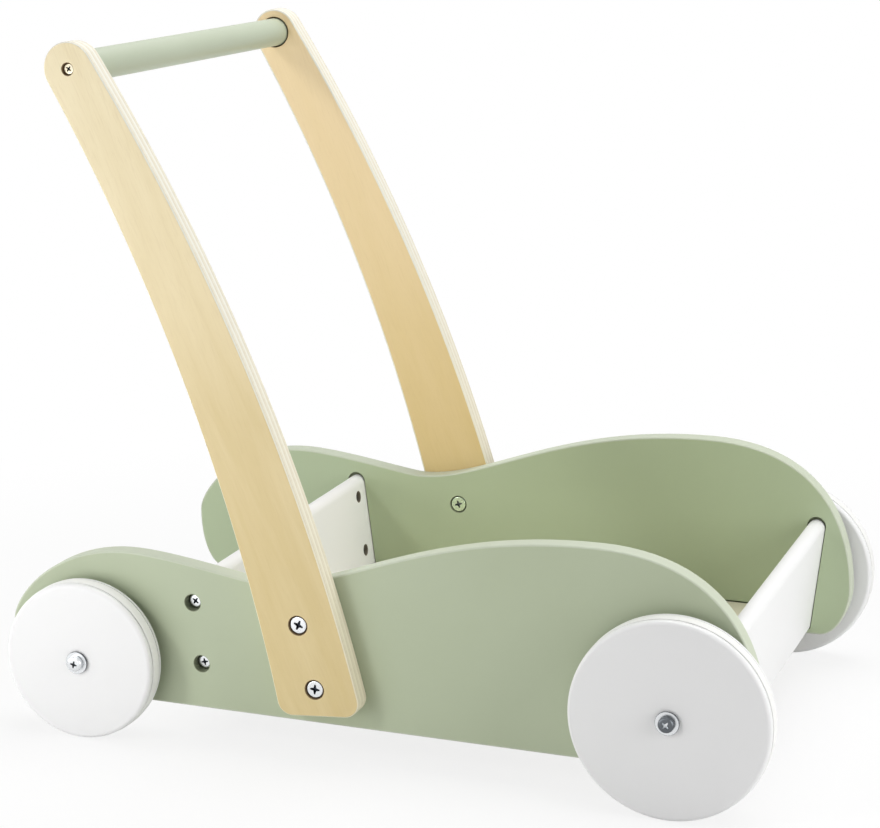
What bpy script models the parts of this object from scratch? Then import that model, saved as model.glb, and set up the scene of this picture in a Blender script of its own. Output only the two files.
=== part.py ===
"""Baby push walker in wood, built as the separate pieces that it comes apart into.

Metres, +Z up, +X forward. The right-hand side of the walker is at -Y, the left-hand side at +Y.
Inside the walker's own frame, X is measured from the rear axle and Z from the ground.
"""
import math

import bmesh
import bpy
from mathutils import Matrix, Vector
from mathutils.geometry import interpolate_bezier

# Clearances
FIT_GAP = 0.0003
SLOT_PLAY = 0.0007
WHEEL_END_PLAY = 0.0004
AXLE_PLAY = 0.0004
HEAD_PLAY = 0.0007
DRILL_TIP_GAP = 0.0010

# Body
BODY_WIDTH = 0.300
WHEELBASE = 0.393
GROUND_CLEARANCE = 0.0235

# Side panel outline, as points where the edge runs level or upright
PANEL_THICKNESS = 0.013
PANEL_EDGE_EASE = 0.0016
REAR_OVERHANG = 0.059
REAR_END_HEIGHT = 0.068
REAR_HUMP_AHEAD = 0.027
REAR_HUMP_HEIGHT = 0.123
DIP_AHEAD = 0.121
DIP_HEIGHT = 0.112
FRONT_HUMP_BEHIND = 0.053
FRONT_HUMP_HEIGHT = 0.159
FRONT_OVERHANG = 0.052
FRONT_END_HEIGHT = 0.057
SOLE_FRONT_AHEAD = 0.030
SOLE_REAR_BEHIND = 0.040

# How far the panel edge keeps its direction before and after each of those points
REAR_END_REACH = (0.029, 0.016)
REAR_HUMP_REACH = (0.055, 0.030)
DIP_REACH = (0.012, 0.051)
FRONT_HUMP_REACH = (0.112, 0.095)
FRONT_END_REACH = (0.027, 0.010)
SOLE_FRONT_REACH = (0.015, 0.0)
SOLE_REAR_REACH = (0.0, 0.009)

# Wheels, each a disc with a rubber band in a groove round its rim
REAR_WHEEL_RADIUS = 0.0526
FRONT_WHEEL_RADIUS = 0.0634
WHEEL_THICKNESS = 0.018
WHEEL_EDGE_ROUND = 0.0025
RIM_LIP = 0.0018
TYRE_THICKNESS = 0.0022
TYRE_PROUD = 0.0004
TYRE_EDGE_EASE = 0.0006

# Axles, each a root in a blind hole of the panel and a sleeve that a bolt closes from outside
AXLE_BOLT_DIAMETER = 0.005
AXLE_BOLT_REACH = 0.014
AXLE_BOLT_HEAD_DIAMETER = 0.0100
AXLE_BOLT_HEAD_HEIGHT = 0.0034
AXLE_WALL = 0.0012
AXLE_ROOT_RIM = 0.002
AXLE_WEB = 0.0025
SPACER_RIM = 0.006
SPACER_THICKNESS = 0.0045
HUB_WASHER_RIM = 0.0035
HUB_WASHER_THICKNESS = 0.0012

# Cross boards at the rear and front, leaning outwards at the top
BOARD_THICKNESS = 0.012
BOARD_LIFT = 0.0045
BOARD_BELOW_DIP = 0.004
BOARD_FOOT_EASE = 0.001
BOARD_SLOT_DEPTH = 0.003
REAR_BOARD_AHEAD = 0.0812
REAR_BOARD_LEAN = math.radians(8.0)
FRONT_BOARD_AHEAD = 0.0180
FRONT_BOARD_LEAN = math.radians(6.0)

# Cross board screws with barrel nuts
SCREW_FOOT_INSET = 0.0255
SCREW_TOP_INSET = 0.0135
SCREW_DIAMETER = 0.0046
SCREW_HEAD_DIAMETER = 0.0090
SCREW_HEAD_HEIGHT = 0.0022
SCREW_WEB = 0.003
SCREW_PAST_NUT = 0.007
BARREL_WALL = 0.0015
BARREL_SINK = 0.0020
BARREL_BACK_WALL = 0.0015
BARREL_INSET = 0.014

# Floor board with a thin tongue along each side
FLOOR_LIFT = 0.0115
FLOOR_THICKNESS = 0.006
FLOOR_END_GAP = 0.0005
FLOOR_SHOULDER = 0.003
TONGUE_DEPTH = 0.003
TONGUE_SETBACK = 0.008

# Handle arms, bowed forwards and widening to the foot
ARM_THICKNESS = 0.015
ARM_EDGE_EASE = 0.0012
ARM_TOP_WIDTH = 0.0335
ARM_FOOT_WIDTH = 0.0555
ARM_BOW = 0.0175
ARM_FOOT_CORNER = 0.010
ARM_FOOT_TILT = math.radians(5.0)
FOOT_AHEAD = 0.167
FOOT_LIFT = 0.0105
HANDLE_SETBACK = 0.1655
HANDLE_HEIGHT = 0.4335

# Arm bolts and their sleeve nuts
BOLT_FOOT_DISTANCE = 0.018
BOLT_SPACING = 0.0425
BOLT_DIAMETER = 0.005
BOLT_HEAD_DIAMETER = 0.0110
BOLT_HEAD_HEIGHT = 0.0028
BOLT_SINK = 0.0012
BOLT_ENGAGEMENT = 0.007
NUT_SINK = 0.0007
NUT_WALL = 0.0012
NUT_INTO_ARM = 0.004
NUT_END_WALL = 0.0012

# Handle bar in a blind pocket at each arm, held by a screw from outside
BAR_DIAMETER = 0.020
BAR_EDGE_EASE = 0.0008
BAR_WEB = 0.003
BAR_SCREW_DIAMETER = 0.004
BAR_SCREW_HEAD_DIAMETER = 0.0070
BAR_SCREW_HEAD_HEIGHT = 0.0022
BAR_SCREW_SINK = 0.0020
BAR_SCREW_INTO_BAR = 0.022
BAR_SCREW_POINT = 0.004

# Cross recess in every screw head
DRIVE_SPAN = 0.0050
DRIVE_WIDTH = 0.0013
DRIVE_DEPTH = 0.0013

# Smoothness of round work, as counts of flats
WHEEL_FLATS = 32
HARDWARE_FLATS = 12
BAR_FLATS = 24
EDGE_STEPS = 12
ARM_STEPS = 10
ROUND_STEPS = 6
EASE_STEPS = 1
WHEEL_ROUND_STEPS = 2
SMOOTH_ANGLE = math.radians(35.0)
MERGE_DISTANCE = 0.000002

RIGHT = -1
LEFT = 1
SIDES = {"right": RIGHT, "left": LEFT}

# Sizes that follow from the ones above
AXLE_DIAMETER = AXLE_BOLT_DIAMETER + 2 * (FIT_GAP + AXLE_WALL)
NUT_SLEEVE_DIAMETER = BOLT_DIAMETER + 2 * (FIT_GAP + NUT_WALL)
BARREL_DIAMETER = SCREW_DIAMETER + 2 * (FIT_GAP + BARREL_WALL)
BARREL_LENGTH = BOARD_THICKNESS - BARREL_SINK - BARREL_BACK_WALL
TYRE_WIDTH = WHEEL_THICKNESS - 2 * (WHEEL_EDGE_ROUND + RIM_LIP)
TONGUE_THICKNESS = FLOOR_THICKNESS - FLOOR_SHOULDER
BOARD_FOOT_HEIGHT = GROUND_CLEARANCE + BOARD_LIFT
BOARD_HEIGHT = DIP_HEIGHT - BOARD_BELOW_DIP - BOARD_FOOT_HEIGHT
FLOOR_UNDERSIDE = GROUND_CLEARANCE + FLOOR_LIFT
SCREW_HOLE_DEPTH = PANEL_THICKNESS - BOARD_SLOT_DEPTH - SCREW_WEB
BOLT_HOLE_DEPTH = BOLT_HEAD_HEIGHT + BOLT_SINK
NUT_HOLE_DEPTH = BOLT_HEAD_HEIGHT + NUT_SINK
AXLE_ROOT_DIAMETER = AXLE_DIAMETER + 2 * AXLE_ROOT_RIM
BAR_SCREW_HOLE_DEPTH = BAR_SCREW_HEAD_HEIGHT + BAR_SCREW_SINK
BAR_POCKET_DEPTH = ARM_THICKNESS - BAR_SCREW_HOLE_DEPTH - BAR_WEB

# Places along Y, measured outwards from the walker's middle plane
PANEL_INNER = BODY_WIDTH / 2 - PANEL_THICKNESS
PANEL_OUTER = BODY_WIDTH / 2
ARM_INNER = PANEL_OUTER + FIT_GAP
ARM_OUTER = ARM_INNER + ARM_THICKNESS
SPACER_INNER = PANEL_OUTER + FIT_GAP
SPACER_OUTER = SPACER_INNER + SPACER_THICKNESS
WHEEL_INNER = SPACER_OUTER + WHEEL_END_PLAY
WHEEL_MIDDLE = WHEEL_INNER + WHEEL_THICKNESS / 2
WHEEL_OUTER = WHEEL_INNER + WHEEL_THICKNESS
AXLE_ROOT_INNER = PANEL_INNER + AXLE_WEB + FIT_GAP
AXLE_END = WHEEL_OUTER + WHEEL_END_PLAY
AXLE_BOLT_END = AXLE_END - AXLE_BOLT_REACH
HUB_WASHER_INNER = AXLE_END + FIT_GAP
HUB_WASHER_OUTER = HUB_WASHER_INNER + HUB_WASHER_THICKNESS
BOARD_END = PANEL_INNER + BOARD_SLOT_DEPTH - FIT_GAP
SCREW_SEAT = PANEL_OUTER - SCREW_HOLE_DEPTH + FIT_GAP
BARREL_CENTRE = PANEL_INNER - BARREL_INSET
SCREW_END = BARREL_CENTRE - SCREW_PAST_NUT
BOLT_SEAT = ARM_OUTER - BOLT_HOLE_DEPTH + FIT_GAP
NUT_SEAT = PANEL_INNER + NUT_HOLE_DEPTH - FIT_GAP
NUT_END = PANEL_OUTER + NUT_INTO_ARM
BAR_END = ARM_INNER + BAR_POCKET_DEPTH - FIT_GAP
BAR_SCREW_SEAT = ARM_OUTER - BAR_SCREW_HOLE_DEPTH + FIT_GAP
BAR_SCREW_END = BAR_END - BAR_SCREW_INTO_BAR

# Axles as (x, z) with each wheel standing on one of its flats
FLAT_SHARE = math.cos(math.pi / WHEEL_FLATS)
REAR_AXLE = (0.0, REAR_WHEEL_RADIUS * FLAT_SHARE)
FRONT_AXLE = (WHEELBASE, FRONT_WHEEL_RADIUS * FLAT_SHARE)

# Cross boards as (x of the foot, lean, way that the inside face looks along X)
BOARDS = {
    "rear": (REAR_BOARD_AHEAD, REAR_BOARD_LEAN, 1),
    "front": (WHEELBASE + FRONT_BOARD_AHEAD, FRONT_BOARD_LEAN, -1),
}
BOARD_SCREW_HEIGHTS = {"lower": SCREW_FOOT_INSET, "upper": BOARD_HEIGHT - SCREW_TOP_INSET}
ARM_BOLT_DISTANCES = {"lower": BOLT_FOOT_DISTANCE, "upper": BOLT_FOOT_DISTANCE + BOLT_SPACING}


# Materials
def linear_colour(hex_code):
    """Linear RGBA from an sRGB hex code."""
    channels = [int(hex_code[i:i + 2], 16) / 255 for i in (0, 2, 4)]
    return [c / 12.92 if c <= 0.04045 else ((c + 0.055) / 1.055) ** 2.4 for c in channels] + [1.0]


def make_material(name, hex_code, roughness, metallic=0.0):
    """Principled material of one colour."""
    material = bpy.data.materials.new(name)
    material.use_nodes = True
    shader = material.node_tree.nodes["Principled BSDF"]
    shader.inputs["Base Color"].default_value = linear_colour(hex_code)
    shader.inputs["Roughness"].default_value = roughness
    shader.inputs["Metallic"].default_value = metallic
    return material


# Shape helpers
def finish_mesh(shape, name):
    """Mesh from a bmesh, faces outwards, round surfaces smooth and corners sharp."""
    bmesh.ops.remove_doubles(shape, verts=shape.verts, dist=MERGE_DISTANCE)
    bmesh.ops.recalc_face_normals(shape, faces=shape.faces)
    mesh = bpy.data.meshes.new(name)
    shape.to_mesh(mesh)
    shape.free()
    mesh.shade_smooth()
    mesh.set_sharp_from_angle(angle=SMOOTH_ANGLE)
    return mesh


def gather(shapes):
    """One bmesh that holds several separate shapes."""
    together = bmesh.new()
    for shape in shapes:
        single = finish_mesh(shape, "single")
        together.from_mesh(single)
        bpy.data.meshes.remove(single)
    return together


def cut(mesh, cutters):
    """Mesh with the cutters' shapes taken out of it."""
    piece = bpy.data.objects.new("blank", mesh)
    cutter = bpy.data.objects.new("cutter", finish_mesh(gather(cutters), "cutter"))
    for item in (piece, cutter):
        bpy.context.scene.collection.objects.link(item)
    cutter.hide_render = True
    cutter.display_type = "WIRE"
    hole = piece.modifiers.new("hole", "BOOLEAN")
    hole.operation = "DIFFERENCE"
    hole.solver = "EXACT"
    hole.object = cutter
    graph = bpy.context.evaluated_depsgraph_get()
    result = bmesh.new()
    result.from_object(piece, graph)
    for item in (piece, cutter):
        leftover = item.data
        bpy.data.objects.remove(item)
        bpy.data.meshes.remove(leftover)
    return finish_mesh(result, "cut")


def slab(outline, near, far, ease=0.0):
    """Plate between two Y planes with an (x, z) outline and eased rims."""
    shape = bmesh.new()
    face = shape.faces.new([shape.verts.new((x, near, z)) for x, z in outline])
    pushed = bmesh.ops.extrude_face_region(shape, geom=[face])["geom"]
    moved = [item for item in pushed if isinstance(item, bmesh.types.BMVert)]
    bmesh.ops.translate(shape, verts=moved, vec=(0.0, far - near, 0.0))
    bmesh.ops.recalc_face_normals(shape, faces=shape.faces)
    if ease > 0.0:
        caps = [f for f in shape.faces if abs(f.normal.y) > 0.5]
        rims = list({edge for cap in caps for edge in cap.edges})
        bmesh.ops.bevel(shape, geom=rims, offset=ease, segments=EASE_STEPS, profile=0.5,
                        affect="EDGES", material=-1)
    return shape


def box(low, high):
    """Block between two corners."""
    shape = bmesh.new()
    bmesh.ops.create_cube(shape, size=1.0)
    low, high = Vector(low), Vector(high)
    bmesh.ops.scale(shape, verts=shape.verts, vec=high - low)
    bmesh.ops.translate(shape, verts=shape.verts, vec=(low + high) / 2)
    return shape


def turned(profile, flats, at=(0.0, 0.0), side=RIGHT):
    """Solid turned about an axis along Y through the (x, z) place.

    The profile is a closed loop of (radius, out), with out as the distance from the
    walker's middle plane towards the given side.
    """
    shape = bmesh.new()
    start = math.pi / flats
    verts = [shape.verts.new((r * math.cos(start), side * out, r * math.sin(start))) for r, out in profile]
    loop = list(zip(verts, verts[1:] + verts[:1]))
    edges = [shape.edges.new(pair) for pair in loop if max(v.co.x for v in pair) > MERGE_DISTANCE]
    bmesh.ops.spin(shape, geom=verts + edges, cent=(0.0, 0.0, 0.0), axis=(0.0, 1.0, 0.0),
                   angle=2 * math.pi, steps=flats, use_merge=True)
    bmesh.ops.remove_doubles(shape, verts=shape.verts, dist=MERGE_DISTANCE)
    bmesh.ops.translate(shape, verts=shape.verts, vec=(at[0], 0.0, at[1]))
    return shape


def drive_cross(out, at=(0.0, 0.0), side=RIGHT):
    """Plus-shaped cutter for a cross recess in a head whose top lies at out."""
    long, short = DRIVE_SPAN / 2, DRIVE_WIDTH / 2
    arm = [(short, long), (short, short), (long, short)]
    corners = []
    for turn in range(4):
        quarter = Matrix.Rotation(-turn * math.pi / 2, 2)
        corners += [quarter @ Vector(p) for p in arm]
    outline = [(at[0] + p.x, at[1] + p.y) for p in corners]
    return slab(outline, side * (out - DRIVE_DEPTH), side * (out + DRIVE_DEPTH))


def arc(centre, radius, start, sweep, steps):
    """Points on an arc, both ends included."""
    angles = [start + sweep * i / steps for i in range(steps + 1)]
    return [(centre[0] + radius * math.cos(a), centre[1] + radius * math.sin(a)) for a in angles]


def rounded_corner(before, corner, after, radius, steps):
    """Points of the arc that rounds a corner between two straight edges."""
    before, corner, after = Vector(before), Vector(corner), Vector(after)
    back = (before - corner).normalized()
    ahead = (after - corner).normalized()
    half = back.angle(ahead) / 2
    centre = corner + (back + ahead).normalized() * radius / math.sin(half)
    first = corner + back * radius / math.tan(half) - centre
    sweep = math.pi - 2 * half
    if back.x * ahead.y - back.y * ahead.x > 0:
        sweep = -sweep
    return arc(centre, radius, math.atan2(first.y, first.x), sweep, steps)


def place(name, mesh, material, parent, location=(0.0, 0.0, 0.0), rotation=(0.0, 0.0, 0.0)):
    """Named piece in the scene, carried by a parent."""
    mesh.name = name
    mesh.materials.clear()
    mesh.materials.append(material)
    piece = bpy.data.objects.new(name, mesh)
    bpy.context.scene.collection.objects.link(piece)
    piece.parent = parent
    piece.location = location
    piece.rotation_euler = rotation
    return piece


def centred(mesh, centre):
    """The mesh moved so that the given point becomes its origin."""
    mesh.transform(Matrix.Translation(-Vector(centre)))
    return mesh


# Side panels
def panel_outline():
    """Wavy outline from the rear end over both humps to the sole, as one closed loop."""
    up, down, ahead, back = Vector((0, 1)), Vector((0, -1)), Vector((1, 0)), Vector((-1, 0))
    front = WHEELBASE
    stations = [
        (Vector((-REAR_OVERHANG, REAR_END_HEIGHT)), up, REAR_END_REACH),
        (Vector((REAR_HUMP_AHEAD, REAR_HUMP_HEIGHT)), ahead, REAR_HUMP_REACH),
        (Vector((DIP_AHEAD, DIP_HEIGHT)), ahead, DIP_REACH),
        (Vector((front - FRONT_HUMP_BEHIND, FRONT_HUMP_HEIGHT)), ahead, FRONT_HUMP_REACH),
        (Vector((front + FRONT_OVERHANG, FRONT_END_HEIGHT)), down, FRONT_END_REACH),
        (Vector((front + SOLE_FRONT_AHEAD, GROUND_CLEARANCE)), back, SOLE_FRONT_REACH),
        (Vector((-SOLE_REAR_BEHIND, GROUND_CLEARANCE)), back, SOLE_REAR_REACH),
    ]
    outline = []
    for i, (start, heading, reach) in enumerate(stations):
        end, end_heading, end_reach = stations[(i + 1) % len(stations)]
        first, last = start + heading * reach[1], end - end_heading * end_reach[0]
        straight = first == start and last == end
        steps = 1 if straight else EDGE_STEPS
        curve = interpolate_bezier(start, first, last, end, steps + 1)
        outline += [(p.x, p.y) for p in curve[:-1]]
    return outline


def board_outline(grow=0.0):
    """End view of a cross board: round top, eased foot, standing on z = 0."""
    half = BOARD_THICKNESS / 2 + grow
    ease = BOARD_FOOT_EASE
    foot = [(-half, ease - grow), (-half + ease, -grow), (half - ease, -grow), (half, ease - grow)]
    return foot + arc((0.0, BOARD_HEIGHT - BOARD_THICKNESS / 2), half, 0.0, math.pi, ROUND_STEPS)


def board_stance(ahead, lean, inwards):
    """Matrix that stands a board's outline on its foot, leaning away from the tray."""
    return Matrix.Translation((ahead, 0.0, BOARD_FOOT_HEIGHT)) @ Matrix.Rotation(-lean * inwards, 4, "Y")


def board_turn(lean, inwards):
    """Rotation of a board, or of a nut in it, whose +X face looks into the tray."""
    return (0.0, -lean, 0.0 if inwards > 0 else math.pi)


def board_screw_places():
    """(x, z) of the screws through a panel, by board and level."""
    places = {}
    for board, row in BOARDS.items():
        for level, height in BOARD_SCREW_HEIGHTS.items():
            point = board_stance(*row) @ Vector((0.0, 0.0, height))
            places[board, level] = (point.x, point.z)
    return places


def floor_ends():
    """Rear and front end of the floor board, clear of both leaning boards."""
    ends = []
    rise = FLOOR_UNDERSIDE - BOARD_FOOT_HEIGHT
    for ahead, lean, inwards in BOARDS.values():
        face = BOARD_THICKNESS / 2 / math.cos(lean) - rise * math.tan(lean)
        ends.append(ahead + inwards * (face + FLOOR_END_GAP))
    return ends


def make_panel_mesh():
    """Right-hand side panel with its slots, groove and holes."""
    inner, outer = RIGHT * PANEL_INNER, RIGHT * PANEL_OUTER
    mesh = finish_mesh(slab(panel_outline(), outer, inner, PANEL_EDGE_EASE), "panel")
    past = PANEL_THICKNESS
    recesses = []
    for row in BOARDS.values():
        slot = slab(board_outline(SLOT_PLAY), RIGHT * (PANEL_INNER + BOARD_SLOT_DEPTH), inner + past)
        bmesh.ops.transform(slot, matrix=board_stance(*row), verts=slot.verts)
        recesses.append(slot)
    rear, front = floor_ends()
    groove_bottom = RIGHT * (PANEL_INNER + TONGUE_DEPTH + FIT_GAP)
    low = (rear + TONGUE_SETBACK - FIT_GAP, groove_bottom, FLOOR_UNDERSIDE - FIT_GAP)
    high = (front - TONGUE_SETBACK + FIT_GAP, inner + past, FLOOR_UNDERSIDE + TONGUE_THICKNESS + FIT_GAP)
    recesses.append(box(low, high))
    mesh = cut(mesh, recesses)
    holes = []
    for at in board_screw_places().values():
        holes.append(stepped_hole(at, PANEL_OUTER - SCREW_HOLE_DEPTH, SCREW_HEAD_DIAMETER, PANEL_OUTER + past,
                                  SCREW_DIAMETER, PANEL_INNER - past))
    for at in bolt_places().values():
        holes.append(stepped_hole(at, PANEL_INNER + NUT_HOLE_DEPTH, BOLT_HEAD_DIAMETER, PANEL_INNER - past,
                                  NUT_SLEEVE_DIAMETER, PANEL_OUTER + past))
    for at in (REAR_AXLE, FRONT_AXLE):
        holes.append(blind_hole(at, PANEL_INNER + AXLE_WEB, AXLE_ROOT_DIAMETER, PANEL_OUTER + past))
    return cut(mesh, holes)


def blind_hole(at, bottom, diameter, end):
    """Cutter for a plain hole that stops at its bottom."""
    radius = diameter / 2 + FIT_GAP
    return turned([(0.0, bottom), (radius, bottom), (radius, end), (0.0, end)], HARDWARE_FLATS, at)


def stepped_hole(at, seat, head_diameter, head_end, shank_diameter, shank_end):
    """Cutter for a counterbored hole: a wide bore down to the seat, a narrow one beyond it."""
    head, shank = head_diameter / 2 + HEAD_PLAY, shank_diameter / 2 + FIT_GAP
    profile = [(0.0, head_end), (head, head_end), (head, seat), (shank, seat),
               (shank, shank_end), (0.0, shank_end)]
    return turned(profile, HARDWARE_FLATS, at)


# Handle arms
def arm_spine(distance):
    """Point on an arm's middle line at a distance from its foot, with the way to the front edge."""
    foot = Vector((FOOT_AHEAD, GROUND_CLEARANCE + FOOT_LIFT))
    bar = Vector((FOOT_AHEAD - HANDLE_SETBACK, HANDLE_HEIGHT))
    chord = bar - foot
    radius = (chord.length_squared / 4 + ARM_BOW ** 2) / (2 * ARM_BOW)
    forwards = Vector((chord.y, -chord.x)).normalized()
    centre = (foot + bar) / 2 + forwards * (ARM_BOW - radius)
    start = foot - centre
    turn = distance / radius
    normal = Matrix.Rotation(turn, 2) @ start.normalized()
    return centre + normal * radius, normal


def arm_length():
    """Length of an arm's middle line from its foot to the handle bar."""
    chord = math.hypot(HANDLE_SETBACK, HANDLE_HEIGHT - GROUND_CLEARANCE - FOOT_LIFT)
    radius = (chord ** 2 / 4 + ARM_BOW ** 2) / (2 * ARM_BOW)
    return 2 * radius * math.asin(chord / 2 / radius)


def bolt_places():
    """(x, z) of the two bolts through an arm."""
    return {level: tuple(arm_spine(distance)[0]) for level, distance in ARM_BOLT_DISTANCES.items()}


def bar_place():
    """(x, z) of the handle bar's middle line."""
    return tuple(arm_spine(arm_length())[0])


def arm_outline():
    """Bowed, tapered outline with a round top and a tilted foot with round corners."""
    length = arm_length()
    foot_line = Vector((math.cos(ARM_FOOT_TILT), math.sin(ARM_FOOT_TILT)))
    edges = {}
    for edge, hand in (("front", 1), ("rear", -1)):
        points = []
        for i in range(ARM_STEPS + 1):
            share = i / ARM_STEPS
            middle, normal = arm_spine(share * length)
            width = ARM_FOOT_WIDTH + (ARM_TOP_WIDTH - ARM_FOOT_WIDTH) * share
            points.append(middle + normal * hand * width / 2)
        foot = arm_spine(0.0)[0]
        along = points[1] - points[0]
        reach = (foot - points[0]).cross(foot_line) / along.cross(foot_line)
        points[0] = points[0] + along * reach
        edges[edge] = points
    front, rear = edges["front"], edges["rear"]
    top, normal = arm_spine(length)
    cap = arc(top, ARM_TOP_WIDTH / 2, math.atan2(normal.y, normal.x), math.pi, ROUND_STEPS)
    front_corner = rounded_corner(rear[0], front[0], front[1], ARM_FOOT_CORNER, ROUND_STEPS)
    rear_corner = rounded_corner(rear[1], rear[0], front[0], ARM_FOOT_CORNER, ROUND_STEPS)
    return front_corner + front[1:-1] + cap + rear[-2:0:-1] + rear_corner


def make_arm_mesh():
    """Right-hand handle arm with its bolt holes, bar pocket and screw hole."""
    inner, outer = RIGHT * ARM_INNER, RIGHT * ARM_OUTER
    mesh = finish_mesh(slab(arm_outline(), outer, inner, ARM_EDGE_EASE), "arm")
    past = ARM_THICKNESS
    holes = []
    for at in bolt_places().values():
        holes.append(stepped_hole(at, ARM_OUTER - BOLT_HOLE_DEPTH, BOLT_HEAD_DIAMETER, ARM_OUTER + past,
                                  NUT_SLEEVE_DIAMETER, ARM_INNER - past))
    screw = BAR_SCREW_DIAMETER / 2 + FIT_GAP
    head = BAR_SCREW_HEAD_DIAMETER / 2 + HEAD_PLAY
    pocket = BAR_DIAMETER / 2 + FIT_GAP
    seat, web = ARM_OUTER - BAR_SCREW_HOLE_DEPTH, ARM_INNER + BAR_POCKET_DEPTH
    profile = [(0.0, ARM_OUTER + past), (head, ARM_OUTER + past), (head, seat), (screw, seat),
               (screw, web), (pocket, web), (pocket, ARM_INNER - past), (0.0, ARM_INNER - past)]
    holes.append(turned(profile, BAR_FLATS, bar_place()))
    return cut(mesh, holes)


# Cross boards, floor and handle bar
def make_board_mesh():
    """Cross board standing on its own foot line, barrel nut holes in its +X face."""
    mesh = finish_mesh(slab(board_outline(), -BOARD_END, BOARD_END), "board")
    bore = BARREL_DIAMETER / 2 + FIT_GAP
    face = BOARD_THICKNESS / 2
    bottom = face - BARREL_SINK - BARREL_LENGTH - FIT_GAP
    to_face = Matrix.Rotation(math.pi / 2, 4, "Z")
    nut_holes, screw_holes = [], []
    for side in (RIGHT, LEFT):
        for height in BOARD_SCREW_HEIGHTS.values():
            profile = [(0.0, bottom), (bore, bottom), (bore, BOARD_THICKNESS), (0.0, BOARD_THICKNESS)]
            hole = turned(profile, HARDWARE_FLATS)
            spot = Matrix.Translation((0.0, side * BARREL_CENTRE, height))
            bmesh.ops.transform(hole, matrix=spot @ to_face, verts=hole.verts)
            nut_holes.append(hole)
            screw = SCREW_DIAMETER / 2 + FIT_GAP
            tip, mouth = SCREW_END - DRILL_TIP_GAP, BOARD_END + BOARD_THICKNESS
            profile = [(0.0, tip), (screw, tip), (screw, mouth), (0.0, mouth)]
            screw_holes.append(turned(profile, HARDWARE_FLATS, (0.0, height), side))
    return cut(cut(mesh, nut_holes), screw_holes)


def make_floor_mesh():
    """Floor board between the panels, with its two tongues."""
    rear, front = floor_ends()
    half, tongue = PANEL_INNER - FIT_GAP, PANEL_INNER + TONGUE_DEPTH
    under, ledge, top = 0.0, TONGUE_THICKNESS, FLOOR_THICKNESS
    corners = [(-half, under), (half, under), (half, top), (-half, top)]
    shape = bmesh.new()
    face = shape.faces.new([shape.verts.new((rear, y, FLOOR_UNDERSIDE + z)) for y, z in corners])
    pushed = bmesh.ops.extrude_face_region(shape, geom=[face])["geom"]
    moved = [item for item in pushed if isinstance(item, bmesh.types.BMVert)]
    bmesh.ops.translate(shape, verts=moved, vec=(front - rear, 0.0, 0.0))
    cuts = [((rear + TONGUE_SETBACK, 0.0, 0.0), (1.0, 0.0, 0.0)),
            ((front - TONGUE_SETBACK, 0.0, 0.0), (1.0, 0.0, 0.0)),
            ((0.0, 0.0, FLOOR_UNDERSIDE + ledge), (0.0, 0.0, 1.0))]
    for point, normal in cuts:
        everything = shape.verts[:] + shape.edges[:] + shape.faces[:]
        bmesh.ops.bisect_plane(shape, geom=everything, plane_co=point, plane_no=normal)
    bmesh.ops.recalc_face_normals(shape, faces=shape.faces)
    for side in (RIGHT, LEFT):
        middle = (rear + front) / 2
        edge = [f for f in shape.faces
                if f.normal.y * side > 0.5
                and f.calc_center_median().z < FLOOR_UNDERSIDE + ledge
                and abs(f.calc_center_median().x - middle) < MERGE_DISTANCE]
        pushed = bmesh.ops.extrude_face_region(shape, geom=edge)["geom"]
        moved = [item for item in pushed if isinstance(item, bmesh.types.BMVert)]
        bmesh.ops.translate(shape, verts=moved, vec=(0.0, side * (tongue - half), 0.0))
        bmesh.ops.delete(shape, geom=edge, context="FACES_ONLY")
    return finish_mesh(shape, "floor")


def make_bar_mesh():
    """Handle bar along Y with eased ends and a pilot hole in each."""
    radius, ease = BAR_DIAMETER / 2, BAR_EDGE_EASE
    pilot = BAR_SCREW_DIAMETER / 2 + FIT_GAP
    bottom = BAR_SCREW_END - DRILL_TIP_GAP
    profile = [(0.0, -bottom), (pilot, -bottom), (pilot, -BAR_END), (radius - ease, -BAR_END),
               (radius, -BAR_END + ease), (radius, BAR_END - ease), (radius - ease, BAR_END),
               (pilot, BAR_END), (pilot, bottom), (0.0, bottom)]
    return finish_mesh(turned(profile, BAR_FLATS), "bar")


# Wheels and axles, turned about Y with out measured from the walker's middle plane
def make_wheel_mesh(wheel_radius):
    """Disc with rounded rims, a bore and a groove for its tyre."""
    rim = wheel_radius - TYRE_PROUD
    groove = wheel_radius - TYRE_THICKNESS - FIT_GAP
    bore = AXLE_DIAMETER / 2 + AXLE_PLAY
    half = TYRE_WIDTH / 2 + FIT_GAP
    round_in = arc((rim - WHEEL_EDGE_ROUND, WHEEL_INNER + WHEEL_EDGE_ROUND), WHEEL_EDGE_ROUND,
                   -math.pi / 2, math.pi / 2, WHEEL_ROUND_STEPS)
    round_out = arc((rim - WHEEL_EDGE_ROUND, WHEEL_OUTER - WHEEL_EDGE_ROUND), WHEEL_EDGE_ROUND,
                    0.0, math.pi / 2, WHEEL_ROUND_STEPS)
    channel = [(rim, WHEEL_MIDDLE - half), (groove, WHEEL_MIDDLE - half),
               (groove, WHEEL_MIDDLE + half), (rim, WHEEL_MIDDLE + half)]
    profile = [(bore, WHEEL_INNER)] + round_in + channel + round_out + [(bore, WHEEL_OUTER)]
    return finish_mesh(turned(profile, WHEEL_FLATS), "wheel")


def make_tyre_mesh(wheel_radius):
    """Rubber band with eased outer corners."""
    inner, outer, ease = wheel_radius - TYRE_THICKNESS, wheel_radius, TYRE_EDGE_EASE
    low, high = WHEEL_MIDDLE - TYRE_WIDTH / 2, WHEEL_MIDDLE + TYRE_WIDTH / 2
    profile = [(inner, low), (outer - ease, low), (outer, low + ease),
               (outer, high - ease), (outer - ease, high), (inner, high)]
    return finish_mesh(turned(profile, WHEEL_FLATS), "tyre")


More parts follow.
